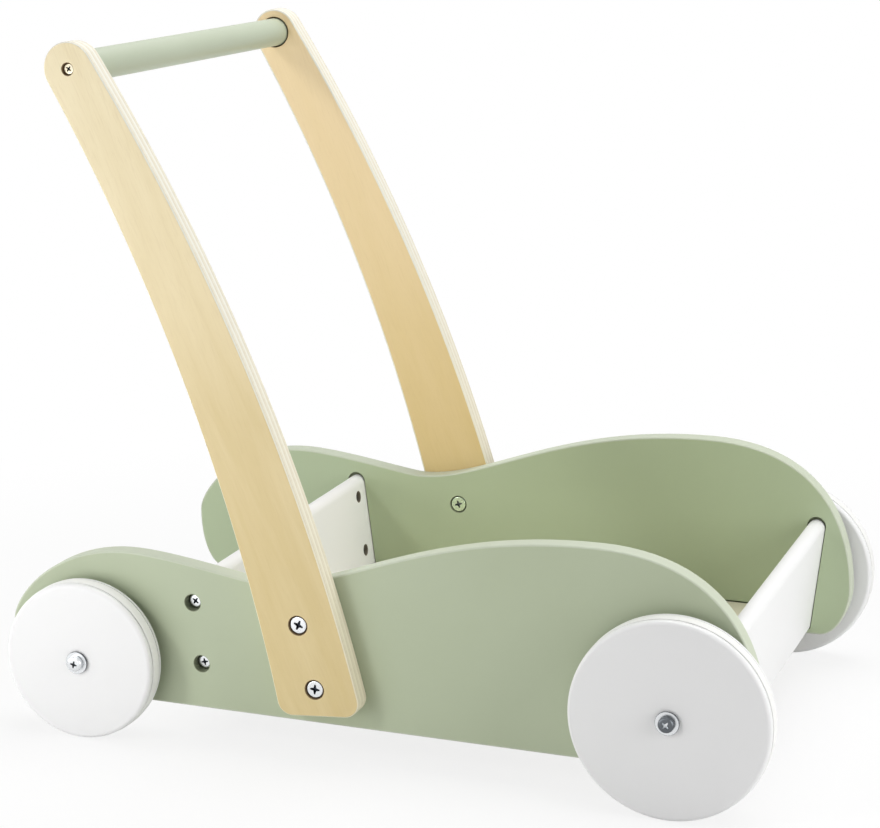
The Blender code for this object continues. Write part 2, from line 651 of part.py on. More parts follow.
def make_ring_mesh(diameter, passing_diameter, inner, outer):
    """Flat ring such as a washer, clear of what passes through it."""
    bore = passing_diameter / 2 + FIT_GAP
    profile = [(bore, inner), (diameter / 2, inner), (diameter / 2, outer), (bore, outer)]
    return finish_mesh(turned(profile, HARDWARE_FLATS), "ring")


def make_axle_mesh():
    """Root that sits in the panel, and a blind sleeve on which the wheel turns."""
    root, sleeve, bore = AXLE_ROOT_DIAMETER / 2, AXLE_DIAMETER / 2, AXLE_BOLT_DIAMETER / 2 + FIT_GAP
    bottom = AXLE_BOLT_END - DRILL_TIP_GAP
    profile = [(0.0, AXLE_ROOT_INNER), (root, AXLE_ROOT_INNER), (root, PANEL_OUTER), (sleeve, PANEL_OUTER),
               (sleeve, AXLE_END), (bore, AXLE_END), (bore, bottom), (0.0, bottom)]
    return finish_mesh(turned(profile, HARDWARE_FLATS), "axle")


def make_sleeve_mesh(head_diameter, head_height, seat, diameter, end, bolt_diameter, end_wall):
    """Sleeve nut: a head on the panel's inside with a cross recess, and a blind sleeve pointing outwards."""
    head, sleeve, bore = head_diameter / 2, diameter / 2, bolt_diameter / 2 + FIT_GAP
    top = seat - head_height
    profile = [(0.0, top), (head, top), (head, seat), (sleeve, seat), (sleeve, end), (bore, end),
               (bore, seat + end_wall), (0.0, seat + end_wall)]
    mesh = finish_mesh(turned(profile, HARDWARE_FLATS), "sleeve")
    return cut(mesh, [drive_cross(top)])


def make_screw_mesh(head_diameter, head_height, seat, diameter, end, point=0.0):
    """Screw from outside: a head with a cross recess, and a shank that may end in a point."""
    head, shank, top = head_diameter / 2, diameter / 2, seat + head_height
    tip = [(shank, end + point), (0.0, end)] if point > 0.0 else [(shank, end), (0.0, end)]
    profile = [(0.0, top), (head, top), (head, seat), (shank, seat)] + tip
    mesh = finish_mesh(turned(profile, HARDWARE_FLATS), "screw")
    return cut(mesh, [drive_cross(top)])


def make_barrel_mesh():
    """Barrel nut along X as it sits in its board, with a clear cross hole along Y at the origin."""
    high, radius = BOARD_THICKNESS / 2 - BARREL_SINK, BARREL_DIAMETER / 2
    low = high - BARREL_LENGTH
    shape = turned([(0.0, low), (radius, low), (radius, high), (0.0, high)], HARDWARE_FLATS)
    quarter = Matrix.Rotation(math.pi / 2, 3, "Z")
    bmesh.ops.rotate(shape, verts=shape.verts, cent=(0.0, 0.0, 0.0), matrix=quarter)
    mesh = finish_mesh(shape, "barrel")
    bore, past = SCREW_DIAMETER / 2 + FIT_GAP, BARREL_DIAMETER
    return cut(mesh, [turned([(0.0, -past), (bore, -past), (bore, past), (0.0, past)], HARDWARE_FLATS)])


def mirrored(mesh):
    """The left-hand twin of a right-hand mesh."""
    shape = bmesh.new()
    shape.from_mesh(mesh)
    bmesh.ops.scale(shape, verts=shape.verts, vec=(1.0, -1.0, 1.0))
    bmesh.ops.reverse_faces(shape, faces=shape.faces)
    return finish_mesh(shape, "twin")


def side_turn(side):
    """Half turn that faces a right-hand piece to the left-hand side."""
    return (0.0, 0.0, 0.0 if side == RIGHT else math.pi)


# Assembly
def build_body(root, looks):
    """Panels, boards, floor, arms and handle bar."""
    panel = centred(make_panel_mesh(), (0.0, RIGHT * PANEL_INNER, 0.0))
    arm_foot = arm_spine(0.0)[0]
    arm = centred(make_arm_mesh(), (arm_foot.x, RIGHT * ARM_INNER, arm_foot.y))
    for name, side in SIDES.items():
        twin = panel if side == RIGHT else mirrored(panel)
        place(f"{name}_side_panel", twin, looks["panel"], root, (0.0, side * PANEL_INNER, 0.0))
        twin = arm if side == RIGHT else mirrored(arm)
        place(f"{name}_handle_arm", twin, looks["arm"], root, (arm_foot.x, side * ARM_INNER, arm_foot.y))
    board = make_board_mesh()
    for name, (ahead, lean, inwards) in BOARDS.items():
        foot = (ahead, 0.0, BOARD_FOOT_HEIGHT)
        place(f"{name}_cross_board", board, looks["board"], root, foot, board_turn(lean, inwards))
    place("floor_board", make_floor_mesh(), looks["floor"], root)
    bar_x, bar_z = bar_place()
    place("handle_bar", make_bar_mesh(), looks["bar"], root, (bar_x, 0.0, bar_z))


def build_wheels(root, looks):
    """Four wheels on their sleeve axles."""
    spacer = AXLE_DIAMETER + 2 * SPACER_RIM
    washer = AXLE_DIAMETER + 2 * HUB_WASHER_RIM
    bolt_seat = HUB_WASHER_OUTER + FIT_GAP
    meshes = {
        "axle_sleeve": make_axle_mesh(),
        "spacer_washer": make_ring_mesh(spacer, AXLE_DIAMETER, SPACER_INNER, SPACER_OUTER),
        "hub_washer": make_ring_mesh(washer, AXLE_BOLT_DIAMETER, HUB_WASHER_INNER, HUB_WASHER_OUTER),
        "axle_bolt": make_screw_mesh(AXLE_BOLT_HEAD_DIAMETER, AXLE_BOLT_HEAD_HEIGHT, bolt_seat,
                                     AXLE_BOLT_DIAMETER, AXLE_BOLT_END),
    }
    axles = {"rear": (REAR_AXLE, REAR_WHEEL_RADIUS), "front": (FRONT_AXLE, FRONT_WHEEL_RADIUS)}
    for axle, ((x, z), radius) in axles.items():
        wheel = centred(make_wheel_mesh(radius), (0.0, RIGHT * WHEEL_MIDDLE, 0.0))
        tyre = centred(make_tyre_mesh(radius), (0.0, RIGHT * WHEEL_MIDDLE, 0.0))
        for name, side in SIDES.items():
            label = f"{name}_{axle}"
            hub = bpy.data.objects.new(f"{label}_hub", None)
            bpy.context.scene.collection.objects.link(hub)
            hub.parent = root
            hub.location = (x, side * WHEEL_MIDDLE, z)
            hub.rotation_euler = side_turn(side)
            place(f"{label}_wheel", wheel, looks["wheel"], hub)
            place(f"{label}_tyre", tyre, looks["tyre"], hub)
            for kind, mesh in meshes.items():
                look = looks["spacer" if kind == "spacer_washer" else "steel"]
                place(f"{label}_{kind}", mesh, look, root, (x, 0.0, z), side_turn(side))


def build_fasteners(root, looks):
    """Arm bolts with sleeve nuts, cross board screws with barrel nuts, and bar screws."""
    steel = looks["steel"]
    bolt = make_screw_mesh(BOLT_HEAD_DIAMETER, BOLT_HEAD_HEIGHT, BOLT_SEAT, BOLT_DIAMETER,
                           NUT_END - BOLT_ENGAGEMENT)
    nut = make_sleeve_mesh(BOLT_HEAD_DIAMETER, BOLT_HEAD_HEIGHT, NUT_SEAT, NUT_SLEEVE_DIAMETER, NUT_END,
                           BOLT_DIAMETER, NUT_END_WALL)
    screw = make_screw_mesh(SCREW_HEAD_DIAMETER, SCREW_HEAD_HEIGHT, SCREW_SEAT, SCREW_DIAMETER, SCREW_END)
    barrel = make_barrel_mesh()
    bar_screw = make_screw_mesh(BAR_SCREW_HEAD_DIAMETER, BAR_SCREW_HEAD_HEIGHT, BAR_SCREW_SEAT,
                                BAR_SCREW_DIAMETER, BAR_SCREW_END, BAR_SCREW_POINT)
    bar_x, bar_z = bar_place()
    for name, side in SIDES.items():
        turn = side_turn(side)
        for level, (x, z) in bolt_places().items():
            place(f"{name}_{level}_arm_bolt", bolt, steel, root, (x, 0.0, z), turn)
            place(f"{name}_{level}_sleeve_nut", nut, steel, root, (x, 0.0, z), turn)
        place(f"{name}_bar_screw", bar_screw, steel, root, (bar_x, 0.0, bar_z), turn)
        for (board, level), (x, z) in board_screw_places().items():
            place(f"{name}_{board}_{level}_screw", screw, steel, root, (x, 0.0, z), turn)
            spot = (x, side * BARREL_CENTRE, z)
            into_tray = board_turn(*BOARDS[board][1:])
            place(f"{name}_{board}_{level}_barrel_nut", barrel, steel, root, spot, into_tray)


def main():
    for old in list(bpy.data.objects):
        bpy.data.objects.remove(old)
    looks = {
        "panel": make_material("sage_painted_board", "B3BFA5", 0.45),
        "arm": make_material("birch_plywood", "E6D3A6", 0.50),
        "board": make_material("white_painted_board", "ECEBE6", 0.45),
        "floor": make_material("clear_plywood", "D9C6A0", 0.55),
        "bar": make_material("sage_painted_dowel", "C8D2BF", 0.40),
        "wheel": make_material("white_painted_disc", "EDEDEC", 0.40),
        "tyre": make_material("white_rubber", "F1F1F0", 0.60),
        "spacer": make_material("white_nylon", "E4E4E0", 0.45),
        "steel": make_material("zinc_plated_steel", "C9CCCF", 0.30, 1.0),
    }
    rear = min(-REAR_OVERHANG, -REAR_AXLE[1], bar_place()[0] - ARM_TOP_WIDTH / 2)
    front = WHEELBASE + max(FRONT_OVERHANG, FRONT_AXLE[1])
    root = bpy.data.objects.new("walker", None)
    bpy.context.scene.collection.objects.link(root)
    root.location = (-(rear + front) / 2, 0.0, 0.0)
    build_body(root, looks)
    build_wheels(root, looks)
    build_fasteners(root, looks)


main()
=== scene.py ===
# %% [markdown]
# # A wooden push walker
#
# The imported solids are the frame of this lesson: they give every place, every size and every joint. Their
# round pieces are made of flats and their edges are hardly broken, which is right for a model that has to
# work and wrong for one that has to be looked at. So each piece is made again here in its true form, gets
# its finish, and rides on the body that carries its solid.

# %% Load the frame
import math

import bmesh
import bpy
from mathutils import Matrix, Vector
from mathutils.geometry import interpolate_bezier


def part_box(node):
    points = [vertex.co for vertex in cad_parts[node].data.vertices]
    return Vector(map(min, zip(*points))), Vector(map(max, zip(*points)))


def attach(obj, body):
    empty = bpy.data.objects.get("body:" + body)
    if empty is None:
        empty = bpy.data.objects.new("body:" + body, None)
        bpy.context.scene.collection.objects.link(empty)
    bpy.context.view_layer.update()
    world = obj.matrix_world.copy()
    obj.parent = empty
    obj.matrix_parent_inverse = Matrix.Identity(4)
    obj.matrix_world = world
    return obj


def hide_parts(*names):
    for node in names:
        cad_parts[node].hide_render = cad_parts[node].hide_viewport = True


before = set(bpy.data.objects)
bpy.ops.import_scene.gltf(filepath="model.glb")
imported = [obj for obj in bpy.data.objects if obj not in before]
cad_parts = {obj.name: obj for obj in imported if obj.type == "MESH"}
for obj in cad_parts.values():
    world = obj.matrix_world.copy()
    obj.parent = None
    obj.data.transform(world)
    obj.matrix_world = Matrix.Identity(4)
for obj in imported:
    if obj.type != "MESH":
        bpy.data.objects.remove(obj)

scene = bpy.context.scene
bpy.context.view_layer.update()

# %% [markdown]
# ## Camera
#
# The walker was photographed with a long lens from its front right, a little above. A camera can be placed
# by eye, or worked out from edges that are known to be parallel and equal. The two side panels are the same
# board at two distances, so their outlines gave this place, turn and focal length. A long lens seen from
# far off keeps the two sides almost the same size, as in the photograph.

# %% Camera
PICTURE_WIDTH = 880
FOCAL_PIXELS = 2409.4
SENSOR_WIDTH = 36.0
CAMERA_PLACE = (0.5225, -1.4867, 0.5731)
CAMERA_YAW = math.radians(19.783)
CAMERA_PITCH = math.radians(13.460)
CAMERA_ROLL = math.radians(0.300)

camera = bpy.data.objects.new("camera", bpy.data.cameras.new("camera"))
camera.data.sensor_width = SENSOR_WIDTH
camera.data.lens = FOCAL_PIXELS / PICTURE_WIDTH * SENSOR_WIDTH
camera.matrix_world = (Matrix.Translation(CAMERA_PLACE) @ Matrix.Rotation(CAMERA_YAW, 4, "Z")
                       @ Matrix.Rotation(math.pi / 2 - CAMERA_PITCH, 4, "X")
                       @ Matrix.Rotation(CAMERA_ROLL, 4, "Z"))
scene.collection.objects.link(camera)
scene.camera = camera
print("lens", round(camera.data.lens, 2), "mm")

# %% [markdown]
# ## Colours and nodes
#
# Paint and wood are matched as sRGB hex codes, because that is what an eye dropper gives. Blender mixes
# light in linear values, so one function converts them. Another small function adds a shader node with its
# settings and its links, and a third leads the last nodes to the shader, which keeps every material below
# short enough to read.

# %% Colours and nodes
# Numbers of the colour sockets of a Mix node.
MIX_A, MIX_B, MIX_RESULT = 6, 7, 2


def paint(hex_code):
    """Linear RGBA of an sRGB hex code."""
    channels = [int(hex_code[i:i + 2], 16) / 255 for i in (0, 2, 4)]
    return [c / 12.92 if c <= 0.04045 else ((c + 0.055) / 1.055) ** 2.4 for c in channels] + [1.0]


def add(tree, kind, values=None, links=None, **settings):
    """New node of a kind, with its settings, socket values and incoming links."""
    made = tree.nodes.new(kind)
    for name, value in settings.items():
        setattr(made, name, value)
    for socket, value in (values or {}).items():
        made.inputs[socket].default_value = value
    for socket, source in (links or {}).items():
        tree.links.new(source, made.inputs[socket])
    return made


def new_finish(name, **values):
    """Material with a Principled shader, whose even values are set on its own sockets."""
    material = bpy.data.materials.new(name)
    material.use_nodes = True
    shader = material.node_tree.nodes["Principled BSDF"]
    for socket, value in values.items():
        shader.inputs[socket.replace("_", " ")].default_value = value
    return material, material.node_tree, shader


def lead_to(shader, tree, **sources):
    """Links outputs to sockets of the shader."""
    for socket, source in sources.items():
        tree.links.new(source, shader.inputs[socket.replace("_", " ")])


view = scene.view_settings
view.view_transform = "Standard"
print("view transform", view.view_transform)

# %% [markdown]
# ## Stage and light
#
# The photograph is a cut-out on white. The main lamp stands off the rear right corner, and is small enough
# for the arm to throw a clear shadow forwards on its panel. A broad one above whitens every edge that looks
# up, and a lamp ahead whitens the arms' front edges and the front board. One behind skims along the sides
# and draws a bright line round the wheels. A white card that lies by the rear wheel throws light up from
# below, which fades towards the front wheel, and a faint sky fills the rest. The floor and the world are
# white to the eye, straight or in a reflection, through the Light Path node. So the background needs no
# extra light on the walker, and its metal shows the same white as in a light tent. Near the walker the
# floor mixes in its own shading, so the walker keeps its shadow.

# %% Sky
PURE_WHITE = (1.0, 1.0, 1.0, 1.0)
SKY_LEVEL = 0.16


def seen_rays(tree):
    """1 for a ray that the eye follows, straight, in a reflection or through glass, and 0 for others."""
    path = add(tree, "ShaderNodeLightPath").outputs
    straight_or_mirrored = add(tree, "ShaderNodeMath", operation="MAXIMUM",
                               links={0: path["Is Camera Ray"], 1: path["Is Glossy Ray"]})
    return add(tree, "ShaderNodeMath", operation="MAXIMUM",
               links={0: straight_or_mirrored.outputs[0], 1: path["Is Transmission Ray"]}).outputs[0]


world = bpy.data.worlds.new("studio")
scene.world = world
world.use_nodes = True
sky = world.node_tree
level = add(sky, "ShaderNodeMapRange", values={"To Min": SKY_LEVEL, "To Max": 1.0},
            links={"Value": seen_rays(sky)})
background = sky.nodes["Background"]
background.inputs["Color"].default_value = PURE_WHITE
sky.links.new(level.outputs["Result"], background.inputs["Strength"])
print("sky lights at", SKY_LEVEL, "and looks white")

# %% Lamps
LAMPS = {
    "key": {"place": (-1.27, -1.66, 1.30), "aim": (-0.05, 0.0, 0.10), "size": 0.40, "watts": 11.2},
    "top": {"place": (0.10, 0.40, 1.60), "aim": (0.0, 0.0, 0.0), "size": 1.40, "watts": 21.2},
    "ahead": {"place": (1.40, -0.30, 0.50), "aim": (0.10, 0.0, 0.10), "size": 0.80, "watts": 10.8},
    "behind": {"place": (-1.50, -0.24, 0.35), "aim": (-0.10, -0.10, 0.10), "size": 0.40, "watts": 4.0},
    "rear_card": {"place": (-0.40, -0.62, 0.03), "aim": (-0.10, 0.0, 0.10), "size": 0.50, "watts": 2.4},
}

for name, lamp in LAMPS.items():
    data = bpy.data.lights.new(name, "AREA")
    data.size = lamp["size"]
    data.energy = lamp["watts"]
    light = bpy.data.objects.new(name, data)
    light.location = lamp["place"]
    away = Vector(lamp["aim"]) - Vector(lamp["place"])
    light.rotation_euler = away.to_track_quat("-Z", "Y").to_euler()
    light.visible_camera = False
    scene.collection.objects.link(light)
print("lamps:", list(LAMPS))

# %% Floor
FLOOR_SPAN = 40.0
FLOOR_WHITE = "EDEDED"
FLOOR_OWN_SHADE = 0.18
SHADE_NEAR, SHADE_FAR = 0.30, 0.75

# Matt white paper, which shows no gloss of its own.
backdrop, tree, shader = new_finish("white_paper_sweep", Base_Color=paint(FLOOR_WHITE), Roughness=0.9,
                                    Specular_IOR_Level=0.0)
glow = add(tree, "ShaderNodeEmission", values={"Color": PURE_WHITE, "Strength": 1.0})
spot = add(tree, "ShaderNodeTexCoord").outputs["Object"]
distance = add(tree, "ShaderNodeVectorMath", operation="LENGTH", links={0: spot})
white = add(tree, "ShaderNodeMapRange", interpolation_type="SMOOTHSTEP",
            links={"Value": distance.outputs["Value"]},
            values={"From Min": SHADE_NEAR, "From Max": SHADE_FAR,
                    "To Min": 1.0 - FLOOR_OWN_SHADE, "To Max": 1.0})
share = add(tree, "ShaderNodeMath", operation="MULTIPLY",
            links={0: seen_rays(tree), 1: white.outputs["Result"]})
blend = add(tree, "ShaderNodeMixShader",
            links={0: share.outputs[0], 1: shader.outputs[0], 2: glow.outputs[0]})
tree.links.new(blend.outputs[0], tree.nodes["Material Output"].inputs["Surface"])

sheet = bmesh.new()
bmesh.ops.create_grid(sheet, x_segments=1, y_segments=1, size=FLOOR_SPAN / 2)
floor_mesh = bpy.data.meshes.new("floor")
sheet.to_mesh(floor_mesh)
sheet.free()
floor_mesh.materials.append(backdrop)
floor = bpy.data.objects.new("floor", floor_mesh)
scene.collection.objects.link(floor)
print("floor of", FLOOR_SPAN, "m")

# %% [markdown]
# ## Painted board
#
# The side panels are fibreboard sprayed with a satin lacquer. A sprayed coat is never quite flat: it dries
# with a soft orange-peel ripple a millimetre or two across, and its tone drifts a little over the board.
# Both could be painted by hand; noise at those real sizes does the same for every board. Sanded edges take
# the paint thinner, so they come out a little rougher and paler, and part of their paleness is painted
# light. They get a finish of their own.

# %% Painted board
PEEL_SIZE, PEEL_HEIGHT = 0.0016, 0.00004
DRIFT_SIZE = 0.09
SMOOTHER, ROUGHER = 0.05, 0.07


def sprayed_paint(name, tone, deep_tone, roughness):
    """Satin paint over smooth board: slow drift of tone, ripple in the gloss and fine peel in the surface."""
    material, tree, shader = new_finish(name, IOR=1.5)
    at = add(tree, "ShaderNodeTexCoord").outputs["Object"]
    drift = add(tree, "ShaderNodeTexNoise", values={"Scale": 1.0 / DRIFT_SIZE, "Detail": 3.0},
                links={"Vector": at})
    colour = add(tree, "ShaderNodeMix", data_type="RGBA", links={0: drift.outputs["Fac"]},
                 values={MIX_A: paint(deep_tone), MIX_B: paint(tone)})
    ripple = add(tree, "ShaderNodeTexNoise", values={"Scale": 1.0 / PEEL_SIZE, "Detail": 2.0},
                 links={"Vector": at})
    gloss = add(tree, "ShaderNodeMapRange", links={"Value": ripple.outputs["Fac"]},
                values={"To Min": roughness - SMOOTHER, "To Max": roughness + ROUGHER})
    bump = add(tree, "ShaderNodeBump", values={"Strength": 0.5, "Distance": PEEL_HEIGHT},
               links={"Height": ripple.outputs["Fac"]})
    lead_to(shader, tree, Base_Color=colour.outputs[MIX_RESULT], Roughness=gloss.outputs["Result"],
            Normal=bump.outputs["Normal"])
    return material


# A quiet grey-green that stays matt enough to show no clear reflection.
sage_paint = sprayed_paint("sage_satin_lacquer_on_fibreboard", "B5BFA4", "AEB89B", 0.46)
# The sides that face the tray are greener, as painted green bounce light from the tray.
sage_painted_bounce = sprayed_paint("sage_satin_lacquer_painted_green_bounce", "B3C1A0", "ACBA97", 0.46)
# The same paint on the rims, paler partly where sanding has thinned it and partly as painted light.
sage_edge_painted_light = sprayed_paint("sage_lacquer_sanded_edge_painted_light", "C3CAB7", "BCC3AE", 0.55)
# The bar is dipped, which leaves a paler and smoother coat.
dowel_paint = sprayed_paint("pale_sage_dipped_beech", "B4BDA7", "AEB7A0", 0.40)
# Plain white on the cross boards, which the tray tints.
board_paint = sprayed_paint("white_satin_lacquer_on_board", "EBEBEB", "E8E8E7", 0.45)
# The same white on the wheels, a little glossier.
wheel_paint = sprayed_paint("white_satin_lacquer_on_disc", "EAEAEA", "E6E6E6", 0.42)
painted = (sage_paint, sage_painted_bounce, sage_edge_painted_light, dowel_paint, board_paint, wheel_paint)
print("painted finishes:", [finish.name for finish in painted])

# %% [markdown]
# ## Birch plywood
#
# The arms are cut from birch plywood and lacquered clear. On the face one sees rotary-cut veneer: pale
# cream, with broad soft figure that runs along the arm and fine short fibres in it. On the cut edge one
# sees the plies, pale and brown by turns, with a thin dark glue line between them. The figure is noise that
# is stretched along the grain. The plies are counted off across the thickness, so they run round every
# curve as the real ones do.

# %% Birch veneer
ARM_LEAN = math.radians(22.5)
FIGURE_WIDTH, FIGURE_LENGTH = 0.014, 0.12
# Real fibres are a few times finer. These are as coarse as they need to be to show.
FIBRE_WIDTH, FIBRE_LENGTH, FIBRE_HEIGHT = 0.0010, 0.012, 0.00005
# Share of the deeper tone at the foot and at the head: painted shade below, painted light above.
FOOT_PAINTED_SHADE, HEAD_PAINTED_SHADE = 0.95, 0.05
FIGURE_SWAY = 0.12
FIBRE_STREAK = 0.20


def along_grain(tree, turn, width, length, detail, rough):
    """Noise stretched along a grain that leans from upright by turn, about Y."""
    at = add(tree, "ShaderNodeTexCoord").outputs["Object"]
    turned_at = add(tree, "ShaderNodeMapping", values={"Rotation": (0.0, turn, 0.0)}, links={"Vector": at})
    stretched = add(tree, "ShaderNodeVectorMath", operation="MULTIPLY",
                    values={1: (1.0 / width, 1.0 / width, 1.0 / length)}, links={0: turned_at.outputs[0]})
    noise = add(tree, "ShaderNodeTexNoise", links={"Vector": stretched.outputs[0]},
                values={"Scale": 1.0, "Detail": detail, "Roughness": rough, "Distortion": 0.4})
    return noise.outputs["Fac"]


def veneer(name, pale, mid, dark, turn, roughness, foot, head):
    """Lacquered veneer: painted light and shade by height, broad figure, darker fibres and a faint relief."""
    material, tree, shader = new_finish(name, Roughness=roughness, IOR=1.5, Coat_Weight=0.15,
                                        Coat_Roughness=0.30)
    figure = along_grain(tree, turn, FIGURE_WIDTH, FIGURE_LENGTH, 4.0, 0.55)
    fibre = along_grain(tree, turn, FIBRE_WIDTH, FIBRE_LENGTH, 2.0, 0.6)
    place = add(tree, "ShaderNodeSeparateXYZ", links={0: add(tree, "ShaderNodeTexCoord").outputs["Object"]})
    # Painted light and shade: from foot to head the tone moves from the deeper one to the pale one.
    low = add(tree, "ShaderNodeMapRange", links={"Value": place.outputs["Z"]},
              values={"From Min": foot, "From Max": head, "To Min": FOOT_PAINTED_SHADE, "To Max": HEAD_PAINTED_SHADE})
    sway = add(tree, "ShaderNodeMapRange", links={"Value": figure},
               values={"From Min": 0.30, "From Max": 0.70, "To Min": -FIGURE_SWAY, "To Max": FIGURE_SWAY})
    spread = add(tree, "ShaderNodeMath", operation="ADD", use_clamp=True,
                 links={0: low.outputs["Result"], 1: sway.outputs["Result"]})
    ground = add(tree, "ShaderNodeMix", data_type="RGBA", values={MIX_A: paint(pale), MIX_B: paint(mid)},
                 links={0: spread.outputs[0]})
    streak = add(tree, "ShaderNodeMapRange", links={"Value": fibre},
                 values={"From Min": 0.50, "From Max": 0.85, "To Max": FIBRE_STREAK})
    colour = add(tree, "ShaderNodeMix", data_type="RGBA", values={MIX_B: paint(dark)},
                 links={0: streak.outputs["Result"], MIX_A: ground.outputs[MIX_RESULT]})
    bump = add(tree, "ShaderNodeBump", values={"Strength": 0.4, "Distance": FIBRE_HEIGHT},
               links={"Height": fibre})
    lead_to(shader, tree, Base_Color=colour.outputs[MIX_RESULT], Normal=bump.outputs["Normal"])
    return material


ARM_PAINTED_LIGHT_ABOVE, ARM_PAINTED_SHADE_BELOW = 0.42, 0.22
TRAY_PALE_ABOVE, TRAY_DEEP_BELOW = 0.08, 0.0
# Both arms are painted paler towards the head and deeper towards the foot, as light and shade. The right
# one fades to cream at its head, and the left one keeps warmer tones.
right_veneer = veneer("clear_lacquered_cream_birch_veneer_painted_light", "F5E7C2", "D2BD87", "BFA675", ARM_LEAN, 0.42,
                      ARM_PAINTED_SHADE_BELOW, ARM_PAINTED_LIGHT_ABOVE)
left_veneer = veneer("clear_lacquered_warm_birch_veneer_painted_light", "F0D8AC", "DFC58A", "CCAF79", ARM_LEAN, 0.42,
                     ARM_PAINTED_SHADE_BELOW, ARM_PAINTED_LIGHT_ABOVE)
# The floor is thinner, paler plywood whose grain runs from front to rear.
floor_veneer = veneer("matt_birch_plywood_floor", "E5E0CC", "D9D2B9", "C1B692", math.pi / 2, 0.55,
                      TRAY_DEEP_BELOW, TRAY_PALE_ABOVE)
print("veneers:", right_veneer.name, left_veneer.name, floor_veneer.name)

# %% Plywood edge
# Real plies are about 1.4 mm and would blur to one tone. These are as coarse as they need to be to show.
PLY = 0.0025
GLUE_SHARE = 0.16
GLUE_PATCH_SIZE = 0.018
END_GRAIN_SIZE, END_GRAIN_HEIGHT = 0.0022, 0.00008
EDGE_PALE_ABOVE, EDGE_PAINTED_LIGHT_BELOW = 0.28, 0.06
ARM_INSIDE = abs(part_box("right_handle_arm")[1].y)


def plywood_edge(name, pale, painted_light_foot, brown, glue):
    """Cut edge of plywood: long grain and end grain by turns, with a broken glue line between the plies."""
    material, tree, shader = new_finish(name, Roughness=0.55, IOR=1.5)
    at = add(tree, "ShaderNodeTexCoord").outputs["Object"]
    place = add(tree, "ShaderNodeSeparateXYZ", links={0: at})
    outwards = add(tree, "ShaderNodeMath", operation="ABSOLUTE", links={0: place.outputs["Y"]})
    # The count starts half a ply before the inside, so that each face veneer is half as thick as a ply.
    depth = add(tree, "ShaderNodeMath", operation="SUBTRACT", values={1: ARM_INSIDE - PLY / 2},
                links={0: outwards.outputs[0]})
    plies = add(tree, "ShaderNodeMath", operation="DIVIDE", values={1: PLY}, links={0: depth.outputs[0]})
    turn = add(tree, "ShaderNodeMath", operation="PINGPONG", values={1: 1.0}, links={0: plies.outputs[0]})
    which = add(tree, "ShaderNodeMath", operation="MODULO", values={1: 2.0}, links={0: plies.outputs[0]})
    end_grain = add(tree, "ShaderNodeMath", operation="GREATER_THAN", values={1: 1.0},
                    links={0: which.outputs[0]})
    near_glue = add(tree, "ShaderNodeMapRange", values={"From Max": GLUE_SHARE, "To Min": 1.0, "To Max": 0.0},
                    links={"Value": turn.outputs[0]})
    patch = add(tree, "ShaderNodeTexNoise", values={"Scale": 1.0 / GLUE_PATCH_SIZE, "Detail": 2.0},
                links={"Vector": at})
    glue_line = add(tree, "ShaderNodeMath", operation="MULTIPLY",
                    links={0: near_glue.outputs["Result"], 1: patch.outputs["Fac"]})
    grain = add(tree, "ShaderNodeTexNoise", values={"Scale": 1.0 / END_GRAIN_SIZE, "Detail": 3.0},
                links={"Vector": at})
    mottle = add(tree, "ShaderNodeMath", operation="MULTIPLY",
                 links={0: end_grain.outputs[0], 1: grain.outputs["Fac"]})
    # Painted light: below the head the edge turns lighter and warmer towards the foot.
    high = add(tree, "ShaderNodeMapRange", values={"From Min": EDGE_PAINTED_LIGHT_BELOW, "From Max": EDGE_PALE_ABOVE},
               links={"Value": place.outputs["Z"]})
    ground = add(tree, "ShaderNodeMix", data_type="RGBA", links={0: high.outputs["Result"]},
                 values={MIX_A: paint(painted_light_foot), MIX_B: paint(pale)})
    wood = add(tree, "ShaderNodeMix", data_type="RGBA", values={MIX_B: paint(brown)},
               links={0: mottle.outputs[0], MIX_A: ground.outputs[MIX_RESULT]})
    colour = add(tree, "ShaderNodeMix", data_type="RGBA", values={MIX_B: paint(glue)},
                 links={0: glue_line.outputs[0], MIX_A: wood.outputs[MIX_RESULT]})
    bump = add(tree, "ShaderNodeBump", values={"Strength": 0.4, "Distance": END_GRAIN_HEIGHT},
               links={"Height": grain.outputs["Fac"]})
    lead_to(shader, tree, Base_Color=colour.outputs[MIX_RESULT], Normal=bump.outputs["Normal"])
    return material


# Pale bands with thin brown lines between them, painted lighter and warmer towards the foot as light, as the
# face is.
arm_edge = plywood_edge("sanded_birch_plywood_edge_painted_light", "E6E4D8", "ECE4CB", "D8CEB4", "B3A07A")
print("ply of", PLY, "m")

# %% [markdown]
# ## Steel, rubber and nylon
#
# Screws, bolts, nuts and washers are steel with a zinc plate. Plating is smooth, and tumbling in a barrel
# leaves it with small patches of unlike gloss. A metal has no colour of its own but that of its reflection,
# so the white floor makes it white. The drive recess is punched and is painted almost black as shade. The
# nuts inside the boards, the heads of the front axle bolts and the rims of the hub washers are a darker
# grey, as painted shade and painted dark reflection. The bar's screws have a yellow plate, and the sleeve
# nuts a green tint that is a painted reflection of their panel. Drilled board shows its raw fibre, and the
# walls of holes in board and birch are darkened as painted shade. Tyres are rubber and the spacers moulded
# nylon. One function makes them all, since each is an even finish with soft patches of some size.

# %% Steel, rubber and nylon
PLATE_PATCH, FUZZ, DUST, CLOUD = 0.0035, 0.0012, 0.0025, 0.004
PATCH_HEIGHT = 0.00002


